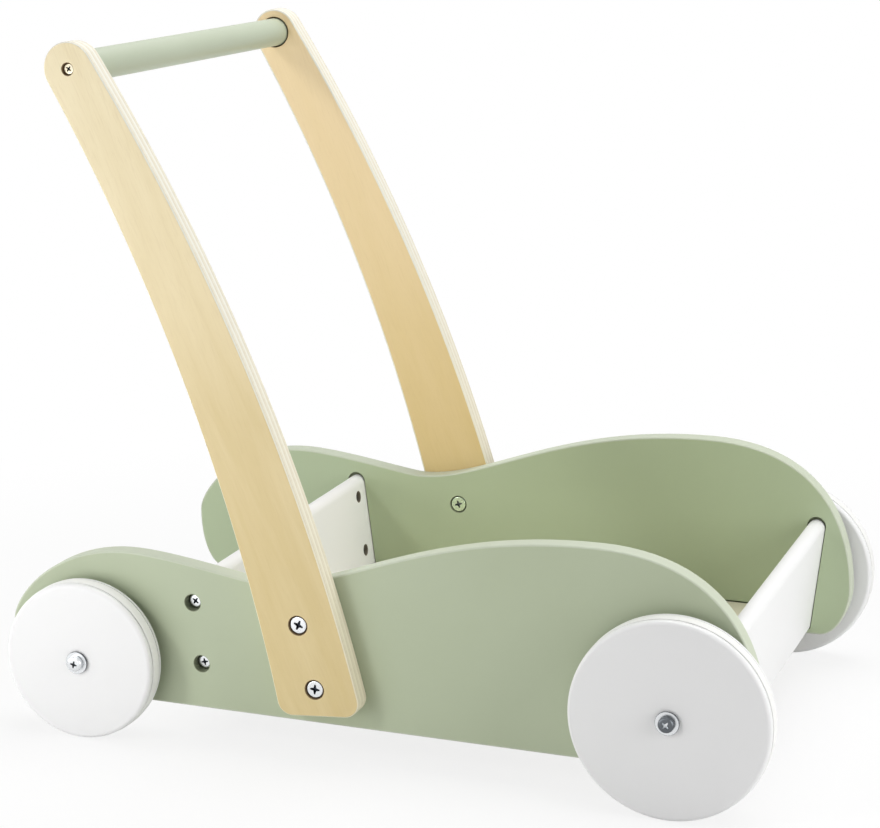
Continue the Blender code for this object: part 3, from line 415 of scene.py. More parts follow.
def mottled(name, tone, other_tone, roughness, size, **values):
    """Finish whose tone and gloss vary in soft patches of one size, between two roughnesses."""
    material, tree, shader = new_finish(name, **values)
    at = add(tree, "ShaderNodeTexCoord").outputs["Object"]
    patch = add(tree, "ShaderNodeTexNoise", values={"Scale": 1.0 / size, "Detail": 1.0}, links={"Vector": at})
    colour = add(tree, "ShaderNodeMix", data_type="RGBA", links={0: patch.outputs["Fac"]},
                 values={MIX_A: paint(tone), MIX_B: paint(other_tone)})
    gloss = add(tree, "ShaderNodeMapRange", values={"To Min": roughness[0], "To Max": roughness[1]},
                links={"Value": patch.outputs["Fac"]})
    bump = add(tree, "ShaderNodeBump", values={"Strength": 0.2, "Distance": PATCH_HEIGHT},
               links={"Height": patch.outputs["Fac"]})
    lead_to(shader, tree, Base_Color=colour.outputs[MIX_RESULT], Roughness=gloss.outputs["Result"],
            Normal=bump.outputs["Normal"])
    return material


# Almost white heads with soft, slightly broken reflections.
zinc = mottled("bright_zinc_plated_steel", "E2E4E6", "D7DADC", (0.20, 0.36), PLATE_PATCH, Metallic=1.0)
# A dark cross, painted shade in the recess, that mirrors nothing clearly.
recess_painted_shade = mottled("drive_recess_painted_shade", "262B33", "3A4049", (0.45, 0.60), PLATE_PATCH, Metallic=1.0)
# Grey metal, darker as painted shade and painted dark reflection.
zinc_painted_shade = mottled("zinc_plate_painted_shade", "6C7074", "565A5E", (0.35, 0.50), PLATE_PATCH, Metallic=1.0)
# Plating with a straw tint, which sits quietly in the cream of the arm.
warm_zinc = mottled("yellow_passivated_zinc_plate", "F2E9D2", "E8DCBE", (0.25, 0.40), PLATE_PATCH,
                    Metallic=1.0)
# Plating tinted green as a painted reflection of the green panel, which almost hides the nut in it.
zinc_painted_green_reflection = mottled("zinc_plate_painted_green_reflection", "D6E6CC", "C6D8B8", (0.20, 0.36), PLATE_PATCH,
                     Metallic=1.0)
# Brown, fuzzy hole walls, birch darkened as painted shade, that frame the bright heads.
birch_wall_painted_shade = mottled("drilled_birch_painted_shade", "7E6848", "6A5539", (0.75, 0.90), FUZZ, IOR=1.5)
# Hole, slot and groove walls: paint over fibre, darkened as painted shade.
sage_wall_painted_shade = mottled("drilled_fibreboard_painted_shade", "8F967E", "7D846C", (0.75, 0.90), FUZZ, IOR=1.5)
# Grey-brown fibre without paint, darkened as painted shade in the holes.
raw_board_painted_shade = mottled("raw_drilled_fibreboard_painted_shade", "857E70", "736C5F", (0.85, 0.95), FUZZ, IOR=1.5)
# A dead white beside the glossier lacquer of the wheels.
rubber = mottled("dusty_white_rubber", "EDEDEB", "E6E6E3", (0.62, 0.78), DUST, IOR=1.52)
# A waxy, faintly cloudy white.
nylon = mottled("natural_white_nylon", "E8E8E2", "E1E1DA", (0.42, 0.52), CLOUD, IOR=1.53)
metals = (zinc, recess_painted_shade, zinc_painted_shade, warm_zinc, zinc_painted_green_reflection)
others = (birch_wall_painted_shade, sage_wall_painted_shade, raw_board_painted_shade, rubber, nylon)
print("mottled finishes:", [finish.name for finish in metals + others])

# %% [markdown]
# ## Shapes that repeat
#
# Almost everything on the walker is either turned on a lathe or cut from board. So two helpers make the
# shapes: one spins a half section round an axis along Y, and one pushes an outline through a thickness and
# rounds its rims. Where a piece belongs is measured on its solid, so that it can't stray from it.

# %% Places
RIGHT, LEFT = -1, 1
SIDES = {"right": RIGHT, "left": LEFT}
ENDS = ("rear", "front")
LEVELS = ("lower", "upper")


def middle(node):
    """Middle of a node's box."""
    low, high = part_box(node)
    return (low + high) / 2


def reach(node):
    """Inner and outer end of a node, as distances from the middle plane."""
    low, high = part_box(node)
    return sorted((abs(low.y), abs(high.y)))


rear_axle, front_axle = middle("right_rear_wheel"), middle("right_front_wheel")
print("rear axle at", rear_axle[:], "front axle at", front_axle[:])

# %% Turned and sawn shapes
FACE, RIM = 0, 1
# How much of its normal points along Y where a surface counts as a side of a board, or as flat across Y.
SIDEWAYS, FLAT_ACROSS = 0.5, 0.9
RIM_STEPS, CORNER_STEPS = 4, 3
MERGE = 0.000002


def arc(centre, radius, start, sweep, steps):
    """Points on an arc, both ends included."""
    angles = [start + sweep * i / steps for i in range(steps + 1)]
    return [(centre[0] + radius * math.cos(a), centre[1] + radius * math.sin(a)) for a in angles]


def lathe(profile, centre, side, segments):
    """Solid spun about Y through centre from a closed half section of (radius, distance out) points."""
    shape = bmesh.new()
    verts = [shape.verts.new((r, side * out, 0.0)) for r, out in profile]
    pairs = zip(verts, verts[1:] + verts[:1])
    edges = [shape.edges.new(pair) for pair in pairs if max(v.co.x for v in pair) > MERGE]
    bmesh.ops.spin(shape, geom=verts + edges, cent=(0.0, 0.0, 0.0), axis=(0.0, 1.0, 0.0),
                   angle=2 * math.pi, steps=segments, use_merge=True)
    bmesh.ops.remove_doubles(shape, verts=shape.verts, dist=MERGE)
    bmesh.ops.translate(shape, verts=shape.verts, vec=(centre[0], 0.0, centre[-1]))
    bmesh.ops.recalc_face_normals(shape, faces=shape.faces)
    return shape


def push(shape, face, step):
    """Extrudes one face by a step and closes the solid."""
    moved = bmesh.ops.extrude_face_region(shape, geom=[face])["geom"]
    bmesh.ops.translate(shape, verts=[v for v in moved if isinstance(v, bmesh.types.BMVert)], vec=step)
    bmesh.ops.recalc_face_normals(shape, faces=shape.faces)


def plate(outline, inner, outer, ease=0.0, steps=RIM_STEPS):
    """Board with an (x, z) outline between two Y planes. Where it is eased, its rims are marked apart."""
    shape = bmesh.new()
    face = shape.faces.new([shape.verts.new((x, inner, z)) for x, z in outline])
    push(shape, face, (0.0, outer - inner, 0.0))
    if ease > 0.0:
        caps = [f for f in shape.faces if abs(f.normal.y) > SIDEWAYS]
        rims = list({edge for cap in caps for edge in cap.edges})
        bmesh.ops.bevel(shape, geom=rims, offset=ease, segments=steps, profile=0.5, affect="EDGES",
                        material=-1)
        largest = sorted(shape.faces, key=lambda f: f.calc_area())[-2:]
        for f in shape.faces:
            f.material_index = FACE if f in largest else RIM
    return shape


def block(size, centre):
    """Box of a size about a centre."""
    shape = bmesh.new()
    bmesh.ops.create_cube(shape, size=1.0)
    bmesh.ops.scale(shape, verts=shape.verts, vec=size)
    bmesh.ops.translate(shape, verts=shape.verts, vec=centre)
    return shape


print("rims are rounded in", RIM_STEPS, "steps and small corners in", CORNER_STEPS)

# %% [markdown]
# ## Drilling
#
# A hole could be modelled face by face. An exact Boolean takes it out of the board as a drill would, which
# is shorter and stays right when a size changes. The drills have a flared collar, so every hole gets its
# softened mouth in the same cut. The walls that a cutter leaves can take a finish of their own, rougher
# than the face and darker, as painted shade in the hole.

# %% Drilling
HOLE_LIP = 0.0004
DRILL_PAST, DRILL_SEGMENTS = 0.004, 64
BORE_PAST, BORE_SEGMENTS = 0.002, 48


def as_mesh(shape, name, finishes=()):
    """Mesh of a bmesh, which is used up."""
    mesh = bpy.data.meshes.new(name)
    shape.to_mesh(mesh)
    shape.free()
    for finish in finishes:
        mesh.materials.append(finish)
    return mesh


def carve(shape, cutters, finishes, wall):
    """The shape with each cutter taken out of it. The new walls take one of its finishes."""
    tool = bmesh.new()
    for cutter in cutters:
        for f in cutter.faces:
            f.material_index = finishes.index(wall)
        single = as_mesh(cutter, "cutter")
        tool.from_mesh(single)
        bpy.data.meshes.remove(single)
    blank = bpy.data.objects.new("blank", as_mesh(shape, "blank", finishes))
    drill = bpy.data.objects.new("drill", as_mesh(tool, "drill", finishes))
    for item in (blank, drill):
        scene.collection.objects.link(item)
    cut = blank.modifiers.new("cut", "BOOLEAN")
    cut.operation = "DIFFERENCE"
    cut.solver = "EXACT"
    cut.object = drill
    result = bmesh.new()
    result.from_object(blank, bpy.context.evaluated_depsgraph_get())
    for item in (blank, drill):
        used = item.data
        bpy.data.objects.remove(item)
        bpy.data.meshes.remove(used)
    return result


def flared_drill(at, side, face, depth, radius, way=1, segments=DRILL_SEGMENTS):
    """Drill with a collar that rounds the hole's mouth. way is 1 for a face that looks out, -1 for in."""
    rest = face + way * DRILL_PAST
    collar = arc((radius + HOLE_LIP, face - way * HOLE_LIP), HOLE_LIP, way * math.pi, -way * math.pi / 2,
                 CORNER_STEPS)
    profile = [(0.0, face - way * depth), (radius, face - way * depth)] + collar
    return lathe(profile + [(radius + HOLE_LIP, rest), (0.0, rest)], at, side, segments)


def rod(radius, start, end, at):
    """Plain straight drill between two distances from the middle plane, on the right-hand side."""
    return lathe([(0.0, start), (radius, start), (radius, end), (0.0, end)], at, RIGHT, BORE_SEGMENTS)


def bore_through(shape, places, radius, inner, outer, finishes, wall):
    """Narrow holes right through a board, past both faces."""
    rods = [rod(radius, inner - BORE_PAST, outer + BORE_PAST, at) for at in places]
    return carve(shape, rods, finishes, wall)


print("mouths of holes have a lip of", HOLE_LIP, "m")

# %% [markdown]
# ## Dressing the solids
#
# The left side is the mirror image of the right one, so what is not turned is made once and mirrored. A
# made piece then stands for its solid: it takes the solid's place and rides on the same body. It is shaded
# smooth, apart from its sharp edges, and weighted normals keep a large flat face flat beside the small
# rounds at its rims.

# %% Dressing the solids
SHARP = math.radians(32.0)


def mirrored(shape):
    """The left-hand twin of a right-hand shape."""
    twin = shape.copy()
    bmesh.ops.scale(twin, verts=twin.verts, vec=(1.0, -1.0, 1.0))
    bmesh.ops.reverse_faces(twin, faces=twin.faces)
    return twin


def dress(shape, node, finishes, body="frame"):
    """Makes a shape the piece that stands for a node, smooth where it is round and flat where it is flat."""
    bmesh.ops.remove_doubles(shape, verts=shape.verts, dist=MERGE)
    bmesh.ops.recalc_face_normals(shape, faces=shape.faces)
    mesh = as_mesh(shape, f"{node}_made", finishes)
    mesh.shade_smooth()
    mesh.set_sharp_from_angle(angle=SHARP)
    piece = bpy.data.objects.new(f"{node}_made", mesh)
    scene.collection.objects.link(piece)
    even = piece.modifiers.new("even_shading", "WEIGHTED_NORMAL")
    even.keep_sharp = True
    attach(piece, body)
    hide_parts(node)
    return piece


print("edges of more than", round(math.degrees(SHARP)), "degrees stay sharp")

# %% [markdown]
# ## Side panels
#
# Each panel is one board, sawn to a wave: a low hump over the rear wheel, a dip where the arm stands, and a
# long hump to the front. A saw line like this is drawn through a few points where it runs level or upright,
# with Bezier curves between them. The board gets rounded rims, then slots for the cross boards, a groove
# for the floor, stepped holes for the screws and blind ones for the axles from outside, and shallow seats
# for the nuts inside. The side that looks to the tray is greener, as painted green bounce light, and the
# walls of slots and holes show the fibre darkened with painted shade.

# %% Side panel outline
PANEL_LOW, PANEL_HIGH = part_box("left_side_panel")
PANEL_INNER, PANEL_OUTER = PANEL_LOW.y, PANEL_HIGH.y
PANEL_EASE = 0.0012
CURVE_STEPS = 30
SOLE = PANEL_LOW.z
PANEL_STATIONS = [
    # point that the edge passes, its heading there, and how far it keeps that heading before and after
    ((PANEL_LOW.x, 0.068), (0, 1), 0.029, 0.016),
    ((rear_axle.x + 0.027, 0.123), (1, 0), 0.055, 0.030),
    ((rear_axle.x + 0.121, 0.112), (1, 0), 0.012, 0.051),
    ((front_axle.x - 0.053, PANEL_HIGH.z), (1, 0), 0.112, 0.095),
    ((PANEL_HIGH.x, 0.057), (0, -1), 0.027, 0.010),
    ((front_axle.x + 0.030, SOLE), (-1, 0), 0.015, 0.0),
    ((rear_axle.x - 0.040, SOLE), (-1, 0), 0.0, 0.009),
]


def panel_outline():
    """Closed saw line through the stations."""
    outline = []
    for i, (point, heading, _, after) in enumerate(PANEL_STATIONS):
        end, end_heading, before, _ = PANEL_STATIONS[(i + 1) % len(PANEL_STATIONS)]
        start, end = Vector(point), Vector(end)
        first = start + Vector(heading) * after
        last = end - Vector(end_heading) * before
        steps = 1 if after == 0.0 and before == 0.0 else CURVE_STEPS
        outline += [tuple(p)[:2] for p in interpolate_bezier(start, first, last, end, steps + 1)[:-1]]
    return outline


print("panel outline of", len(panel_outline()), "points")

# %% Cross board places
BOARD_THICKNESS = 0.012
BOARD_HEIGHT = 0.080
SCREW_FOOT_INSET = 0.0255
SLOT_PLAY = 0.0006
SLOT_ABOVE = 0.0018
SLOT_DEPTH = 0.003
FOOT_EASE = 0.0012
BULLNOSE_STEPS = 20


def board_outline(grow=0.0, above=0.0):
    """End view of a cross board that stands on z = 0: round top, eased foot. A slot grows round and above."""
    half = BOARD_THICKNESS / 2 + grow
    foot = (arc((-half + FOOT_EASE, FOOT_EASE - grow), FOOT_EASE, math.pi, math.pi / 2, CORNER_STEPS)
            + arc((half - FOOT_EASE, FOOT_EASE - grow), FOOT_EASE, -math.pi / 2, math.pi / 2, CORNER_STEPS))
    return foot + arc((0.0, BOARD_HEIGHT - BOARD_THICKNESS / 2 + above), half, 0.0, math.pi, BULLNOSE_STEPS)


def board_stance(board):
    """Matrix that stands a board on its foot, on the line through its two screws."""
    lower, upper = (middle(f"right_{board}_{level}_screw") for level in LEVELS)
    rise = upper - lower
    rise.y = 0.0
    lean = math.atan2(rise.x, rise.z)
    foot = lower - rise.normalized() * SCREW_FOOT_INSET
    return Matrix.Translation((foot.x, 0.0, foot.z)) @ Matrix.Rotation(lean, 4, "Y")


for board in ENDS:
    print(board, "board stands at", [round(v, 4) for v in board_stance(board).translation])

# %% Side panels
SCREW_BORE = 0.0055
SCREW_SEAT_DEPTH = 0.007
SCREW_SHANK_BORE = 0.0026
NUT_BORE = 0.0062
NUT_SEAT_DEPTH = 0.0035
NUT_SLEEVE_BORE = 0.0043
AXLE_ROOT_BORE, AXLE_ROOT_DEPTH = 0.0063, 0.0105
TONGUE_SETBACK = 0.0075
GROOVE_DEPTH = 0.0033
GROOVE_CLEARANCE, GROOVE_LINE = 0.0003, 0.0009
sage = [sage_paint, sage_edge_painted_light, sage_wall_painted_shade, sage_painted_bounce]


def make_panel():
    """Right-hand panel with its slots, groove and holes."""
    panel = plate(panel_outline(), RIGHT * PANEL_INNER, RIGHT * PANEL_OUTER, PANEL_EASE)
    recesses = []
    for board in ENDS:
        slot = plate(board_outline(SLOT_PLAY, SLOT_ABOVE), RIGHT * (PANEL_INNER - SLOT_DEPTH),
                     RIGHT * (PANEL_INNER + SLOT_DEPTH))
        bmesh.ops.transform(slot, matrix=board_stance(board), verts=slot.verts)
        recesses.append(slot)
    low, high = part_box("floor_board")
    bottom, top = low.z - GROOVE_CLEARANCE, high.z + GROOVE_LINE
    groove_size = (high.x - low.x - 2 * TONGUE_SETBACK, 2 * GROOVE_DEPTH, top - bottom)
    recesses.append(block(groove_size, ((low.x + high.x) / 2, RIGHT * PANEL_INNER, (bottom + top) / 2)))
    # Slot and groove walls take the dark wall finish, painted shade.
    panel = carve(panel, recesses, sage, sage_wall_painted_shade)
    screws = [middle(f"right_{board}_{level}_screw") for board in ENDS for level in LEVELS]
    nuts = [middle(f"right_{level}_sleeve_nut") for level in LEVELS]
    axles = [middle(f"right_{axle}_wheel") for axle in ENDS]
    drills = [flared_drill(at, RIGHT, PANEL_OUTER, SCREW_SEAT_DEPTH, SCREW_BORE) for at in screws]
    drills += [flared_drill(at, RIGHT, PANEL_INNER, NUT_SEAT_DEPTH, NUT_BORE, way=-1) for at in nuts]
    drills += [flared_drill(at, RIGHT, PANEL_OUTER, AXLE_ROOT_DEPTH, AXLE_ROOT_BORE) for at in axles]
    # Hole walls take the same painted shade.
    panel = carve(panel, drills, sage, sage_wall_painted_shade)
    # Faces that look into the tray take the greener paint, a painted green bounce light.
    for f in panel.faces:
        if f.material_index == FACE and f.normal.y > SIDEWAYS:
            f.material_index = sage.index(sage_painted_bounce)
    panel = bore_through(panel, screws, SCREW_SHANK_BORE, PANEL_INNER, PANEL_OUTER, sage, sage_paint)
    return bore_through(panel, nuts, NUT_SLEEVE_BORE, PANEL_INNER, PANEL_OUTER, sage, sage_paint)


panel = make_panel()
for name, shape in zip(SIDES, (panel, mirrored(panel))):
    made = dress(shape, f"{name}_side_panel", sage)
    print(made.name, len(made.data.polygons), "faces")

# %% [markdown]
# ## Cross boards and floor
#
# The two cross boards are white, with a full bullnose along the top, and their ends stand in the panels'
# slots. They lean outwards, so the tray is wider at the top. The nuts that their screws bite into are
# dropped in from the tray side, and leave round holes near each end. An extruded end view gives the
# bullnose in one step. The floor is a thin plywood sheet whose solid is right as it is, so it only gets its
# veneer.

# %% Cross boards and floor
BARREL_BORE = 0.0040
BARREL_HOLE_DEPTH = 0.0108
TRAY_WAY = {"rear": 1, "front": -1}
white_board = [board_paint, raw_board_painted_shade]


def nut_place(side, board, level):
    """Matrix that turns what lies along Y to the tray and takes it to a nut of an upright board."""
    screw = middle(f"{side}_{board}_{level}_screw")
    height = (board_stance(board).inverted() @ Vector((screw.x, 0.0, screw.z))).z
    across = middle(f"{side}_{board}_{level}_barrel_nut").y
    return Matrix.Translation((0.0, across, height)) @ Matrix.Rotation(TRAY_WAY[board] * math.pi / 2, 4, "Z")


def make_board(board):
    """Cross board in its place, with its nut holes open to the tray."""
    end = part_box(f"{board}_cross_board")[1].y
    shape = plate(board_outline(), -end, end)
    drills = []
    for side in SIDES:
        for level in LEVELS:
            drill = flared_drill((0.0, 0.0), RIGHT, BOARD_THICKNESS / 2, BARREL_HOLE_DEPTH, BARREL_BORE)
            bmesh.ops.transform(drill, matrix=nut_place(side, board, level), verts=drill.verts)
            drills.append(drill)
    # The nut holes' walls take bare fibre darkened as painted shade.
    shape = carve(shape, drills, white_board, raw_board_painted_shade)
    bmesh.ops.transform(shape, matrix=board_stance(board), verts=shape.verts)
    return shape


for board in ENDS:
    made = dress(make_board(board), f"{board}_cross_board", white_board)
    print(made.name, len(made.data.polygons), "faces")
floor_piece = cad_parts["floor_board"]
floor_piece.data.materials.clear()
floor_piece.data.materials.append(floor_veneer)

# %% [markdown]
# ## Handle arms
#
# An arm is a bowed strip of plywood that widens to its foot, with a round head about the bar and round
# corners below. Its middle line is an arc between the foot and the bar. Both edges are set off from that
# line by half of a width that tapers evenly, which keeps them smooth with only a few numbers. The face
# takes the veneer, which turns a little over the outer rim, the saw line takes the plywood edge, and the
# holes take a brown that is painted shade.

# %% Arm outline
ARM_TOP_WIDTH, ARM_FOOT_WIDTH = 0.0335, 0.0555
ARM_BOW = 0.0175
ARM_FOOT_CORNER = 0.010
ARM_CORNER_ROOM = 1.5 * ARM_FOOT_CORNER
ARM_FOOT_TILT = math.radians(5.0)
ARM_FOOT = Vector((rear_axle.x + 0.167, SOLE + 0.0105))
ARM_STEPS, ARM_ROUND_STEPS = 48, 24
bar_middle = middle("handle_bar")
ARM_HEAD = Vector((bar_middle.x, bar_middle.z))

chord = ARM_HEAD - ARM_FOOT
arm_radius = (chord.length_squared / 4 + ARM_BOW ** 2) / (2 * ARM_BOW)
arm_forwards = Vector((chord.y, -chord.x)).normalized()
arm_centre = (ARM_FOOT + ARM_HEAD) / 2 + arm_forwards * (ARM_BOW - arm_radius)
arm_sweep = (ARM_FOOT - arm_centre).angle(ARM_HEAD - arm_centre)


def arm_line(share):
    """Point on the middle line at a share of its length, and the way to the front edge there."""
    normal = Matrix.Rotation(share * arm_sweep, 2) @ (ARM_FOOT - arm_centre).normalized()
    return arm_centre + normal * arm_radius, normal


def round_corner(before, corner, after, radius, steps):
    """Arc that rounds the corner between two straight edges."""
    back, ahead = (before - corner).normalized(), (after - corner).normalized()
    half = back.angle(ahead) / 2
    centre = corner + (back + ahead).normalized() * radius / math.sin(half)
    first = corner + back * radius / math.tan(half) - centre
    turn = back.x * ahead.y - back.y * ahead.x
    sweep = math.copysign(math.pi - 2 * half, -turn)
    return arc(centre, radius, math.atan2(first.y, first.x), sweep, steps)


def arm_outline():
    """Closed saw line of an arm."""
    level = Vector((math.cos(ARM_FOOT_TILT), math.sin(ARM_FOOT_TILT)))
    edges = []
    for hand in (1, -1):
        points = []
        for i in range(ARM_STEPS + 1):
            at, normal = arm_line(i / ARM_STEPS)
            width = ARM_FOOT_WIDTH + (ARM_TOP_WIDTH - ARM_FOOT_WIDTH) * i / ARM_STEPS
            points.append(at + normal * hand * width / 2)
        along = points[1] - points[0]
        stretch = (ARM_FOOT - points[0]).cross(level) / along.cross(level)
        corner = points[0] + along * stretch
        clear = [p for p in points if (p - corner).length > ARM_CORNER_ROOM]
        edges.append([corner] + clear)
    front, rear = edges
    head, normal = arm_line(1.0)
    cap = arc(head, ARM_TOP_WIDTH / 2, math.atan2(normal.y, normal.x), math.pi, ARM_ROUND_STEPS)
    front_corner = round_corner(rear[0], front[0], front[1], ARM_FOOT_CORNER, ARM_ROUND_STEPS // 2)
    rear_corner = round_corner(rear[1], rear[0], front[0], ARM_FOOT_CORNER, ARM_ROUND_STEPS // 2)
    return front_corner + front[1:-1] + cap + rear[-2:0:-1] + rear_corner


print("arm radius", round(arm_radius, 3), "m, outline of", len(arm_outline()), "points")

# %% Handle arms
ARM_INNER, ARM_OUTER = reach("left_handle_arm")
ARM_EASE = 0.0013
BOLT_BORE, BOLT_SEAT_DEPTH = 0.0062, 0.0040
BAR_SCREW_BORE, BAR_SCREW_SEAT_DEPTH, BAR_SCREW_SHANK_BORE = 0.0038, 0.0042, 0.0023
BAR_POCKET_BORE, BAR_POCKET_DEPTH = 0.0108, 0.0078
BAR_SEGMENTS = 96
birch = [right_veneer, arm_edge, birch_wall_painted_shade]


def make_arm():
    """Right-hand arm with its holes, and with its veneer turned a little over the outer rim."""
    shape = plate(arm_outline(), RIGHT * ARM_INNER, RIGHT * ARM_OUTER, ARM_EASE, CORNER_STEPS)
    shape.normal_update()
    for f in shape.faces:
        if RIGHT * f.normal.y > FLAT_ACROSS:
            f.material_index = FACE
    bolts = [middle(f"right_{level}_arm_bolt") for level in LEVELS]
    drills = [flared_drill(at, RIGHT, ARM_OUTER, BOLT_SEAT_DEPTH, BOLT_BORE) for at in bolts]
    drills.append(flared_drill(bar_middle, RIGHT, ARM_OUTER, BAR_SCREW_SEAT_DEPTH, BAR_SCREW_BORE))
    drills.append(flared_drill(bar_middle, RIGHT, ARM_INNER, BAR_POCKET_DEPTH, BAR_POCKET_BORE, way=-1,
                               segments=BAR_SEGMENTS))
    # Hole walls in the arm take the brown of painted shade.
    shape = carve(shape, drills, birch, birch_wall_painted_shade)
    shape = bore_through(shape, bolts, NUT_SLEEVE_BORE, ARM_INNER, ARM_OUTER, birch, birch_wall_painted_shade)
    return bore_through(shape, [bar_middle], BAR_SCREW_SHANK_BORE, ARM_INNER, ARM_OUTER, birch, birch_wall_painted_shade)


arm = make_arm()
for name, shape, face in zip(SIDES, (arm, mirrored(arm)), (right_veneer, left_veneer)):
    made = dress(shape, f"{name}_handle_arm", [face, arm_edge, birch_wall_painted_shade])
    print(made.name, len(made.data.polygons), "faces")

# %% [markdown]
# ## Handle bar
#
# The bar is a beech dowel, dipped in paint, with its ends let into the arms. It is a plain turning: a half
# section with broken corners, spun once. The pilot hole for the screw is bored into each end.

# %% Handle bar
BAR_RADIUS, BAR_EASE = 0.010, 0.0010
PILOT_RADIUS, PILOT_DEPTH = 0.0023, 0.023
bar_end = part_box("handle_bar")[1].y
half_bar = [(0.0, bar_end - PILOT_DEPTH), (PILOT_RADIUS, bar_end - PILOT_DEPTH), (PILOT_RADIUS, bar_end)]
half_bar += arc((BAR_RADIUS - BAR_EASE, bar_end - BAR_EASE), BAR_EASE, math.pi / 2, -math.pi / 2,
                RIM_STEPS)
whole_bar = half_bar + [(r, -out) for r, out in reversed(half_bar)]
bar = lathe(whole_bar, bar_middle, LEFT, BAR_SEGMENTS)
made = dress(bar, "handle_bar", [dowel_paint])
print(made.name, len(made.data.polygons), "faces")

# %% [markdown]
# ## Wheels and tyres
#
# Each wheel is a painted disc with a soft round on both rims and a shallow groove for a rubber band, which
# shows as a fine line round the tread. A disc is the lathe's plainest work. The radius is the height of the
# axle, so the round wheel just touches the floor where its solid stands on a flat.

# %% Wheels and tyres
WHEEL_SEGMENTS = 192
WHEEL_ROUND, WHEEL_ROUND_STEPS = 0.0026, 8
RIM_LIP = 0.0014
TYRE_THICKNESS, TYRE_PROUD, TYRE_EASE = 0.0022, 0.0004, 0.0006
WHEEL_BORE = 0.0044
GROOVE_GAP = 0.0003
BAND_GAP = 0.0009


def make_wheel(label, side, axle):
    """Disc and rubber band of one wheel."""
    low, high = reach(f"{label}_wheel")
    tread = axle.z
    rim, groove = tread - TYRE_PROUD, tread - TYRE_THICKNESS - GROOVE_GAP
    inset = WHEEL_ROUND + RIM_LIP
    start, end = low + inset, high - inset
    round_in = arc((rim - WHEEL_ROUND, low + WHEEL_ROUND), WHEEL_ROUND, -math.pi / 2, math.pi / 2,
                   WHEEL_ROUND_STEPS)
    round_out = arc((rim - WHEEL_ROUND, high - WHEEL_ROUND), WHEEL_ROUND, 0.0, math.pi / 2, WHEEL_ROUND_STEPS)
    channel = [(rim, start), (groove, start), (groove, end), (rim, end)]
    disc = lathe([(WHEEL_BORE, low)] + round_in + channel + round_out + [(WHEEL_BORE, high)], axle, side,
                 WHEEL_SEGMENTS)
    start, end = start + BAND_GAP, end - BAND_GAP
    base, ease = tread - TYRE_THICKNESS, TYRE_EASE
    band = ([(base, start)] + arc((tread - ease, start + ease), ease, -math.pi / 2, math.pi / 2, CORNER_STEPS)
            + arc((tread - ease, end - ease), ease, 0.0, math.pi / 2, CORNER_STEPS) + [(base, end)])
    return disc, lathe(band, axle, side, WHEEL_SEGMENTS)


for name, side in SIDES.items():
    for axle in ENDS:
        label = f"{name}_{axle}"
        disc, band = make_wheel(label, side, middle(f"{label}_wheel"))
        dress(disc, f"{label}_wheel", [wheel_paint], f"{label}_wheel_body")
        made = dress(band, f"{label}_tyre", [rubber], f"{label}_wheel_body")
        print(made.name, len(made.data.polygons), "faces")

# %% [markdown]
# ## Screws, bolts and nuts
#
# Every fastener has a turned head with a softened rim and a punched cross. A cross recess narrows to its
# four tips and to its bottom, so its cutter is a four-pointed star whose lower end is drawn in. No two
# screws on a real walker stop at the same angle, so each recess is turned by a different amount. A head
# that faces the tray is the same shape, made the other way round.

# %% Fastener shapes
HEAD_SEGMENTS = 64
CROSS_TIP_SHARE = 0.14
CROSS_HEART_SHARE = 0.31
CROSS_TAPER = 0.55
GOLDEN_TURN = math.radians(137.5)
SEEN_TURNS = {"right_lower_arm_bolt": 4.0, "right_upper_arm_bolt": 22.0, "right_bar_screw": 35.0,
              "right_rear_axle_bolt": 12.0, "right_front_axle_bolt": 38.0}
screws_made = []


def head_section(top, way, head, shank, end, bore=0.0, bore_end=0.0):
    """Half section from the middle of a head to the tip. way is 1 for a head that faces out, -1 for in."""
    radius, height, soft = head
    rim = arc((radius - soft, top - way * soft), soft, way * math.pi / 2, -way * math.pi / 2, RIM_STEPS)
    section = [(0.0, top)] + rim + [(radius, top - way * height), (shank, top - way * height), (shank, end)]
    if bore > 0.0:
        return section + [(bore, end), (bore, bore_end), (0.0, bore_end)]
    return section + [(0.0, end)]


def cross_cutter(node, side, top, way, cross):
    """Tapered star with four points that is sunk into a head, turned unlike its neighbours."""
    span, depth = cross
    at = middle(node)
    long, short, heart = span / 2, span / 2 * CROSS_TIP_SHARE, span / 2 * CROSS_HEART_SHARE
    corners = []
    for quarter in range(4):
        turn = Matrix.Rotation(-quarter * math.pi / 2, 2)
        corners += [turn @ Vector(p) for p in ((short, long), (heart, heart), (long, short))]
    shape = plate([tuple(c) for c in corners], side * (top - way * depth), side * (top + way * depth))
    bottom = [v for v in shape.verts if abs(v.co.y - side * (top - way * depth)) < MERGE]
    bmesh.ops.scale(shape, verts=bottom, vec=(CROSS_TAPER, 1.0, CROSS_TAPER))
    seen = SEEN_TURNS.get(node)
    spin = Matrix.Rotation(len(screws_made) * GOLDEN_TURN if seen is None else math.radians(seen), 4, "Y")
    bmesh.ops.transform(shape, matrix=Matrix.Translation((at.x, 0.0, at.z)) @ spin, verts=shape.verts)
    bmesh.ops.recalc_face_normals(shape, faces=shape.faces)
    return shape


def fastener(node, side, head, shank, cross, finishes=(zinc, recess_painted_shade), way=1, bore=0.0, bore_wall=0.0):
    """Screw, bolt or sleeve nut in its node's place, with one finish outside and one in its recess."""
    inner, outer = reach(node)
    top, end = (outer, inner) if way > 0 else (inner, outer)
    section = head_section(top, way, head, shank, end, bore, top - way * bore_wall)
    shape = lathe(section, middle(node), side, HEAD_SEGMENTS)
    shape = carve(shape, [cross_cutter(node, side, top, way, cross)], finishes, finishes[1])
    screws_made.append(node)
    return dress(shape, node, finishes)


print("tips of a recess are", CROSS_TIP_SHARE, "as wide as it is long")

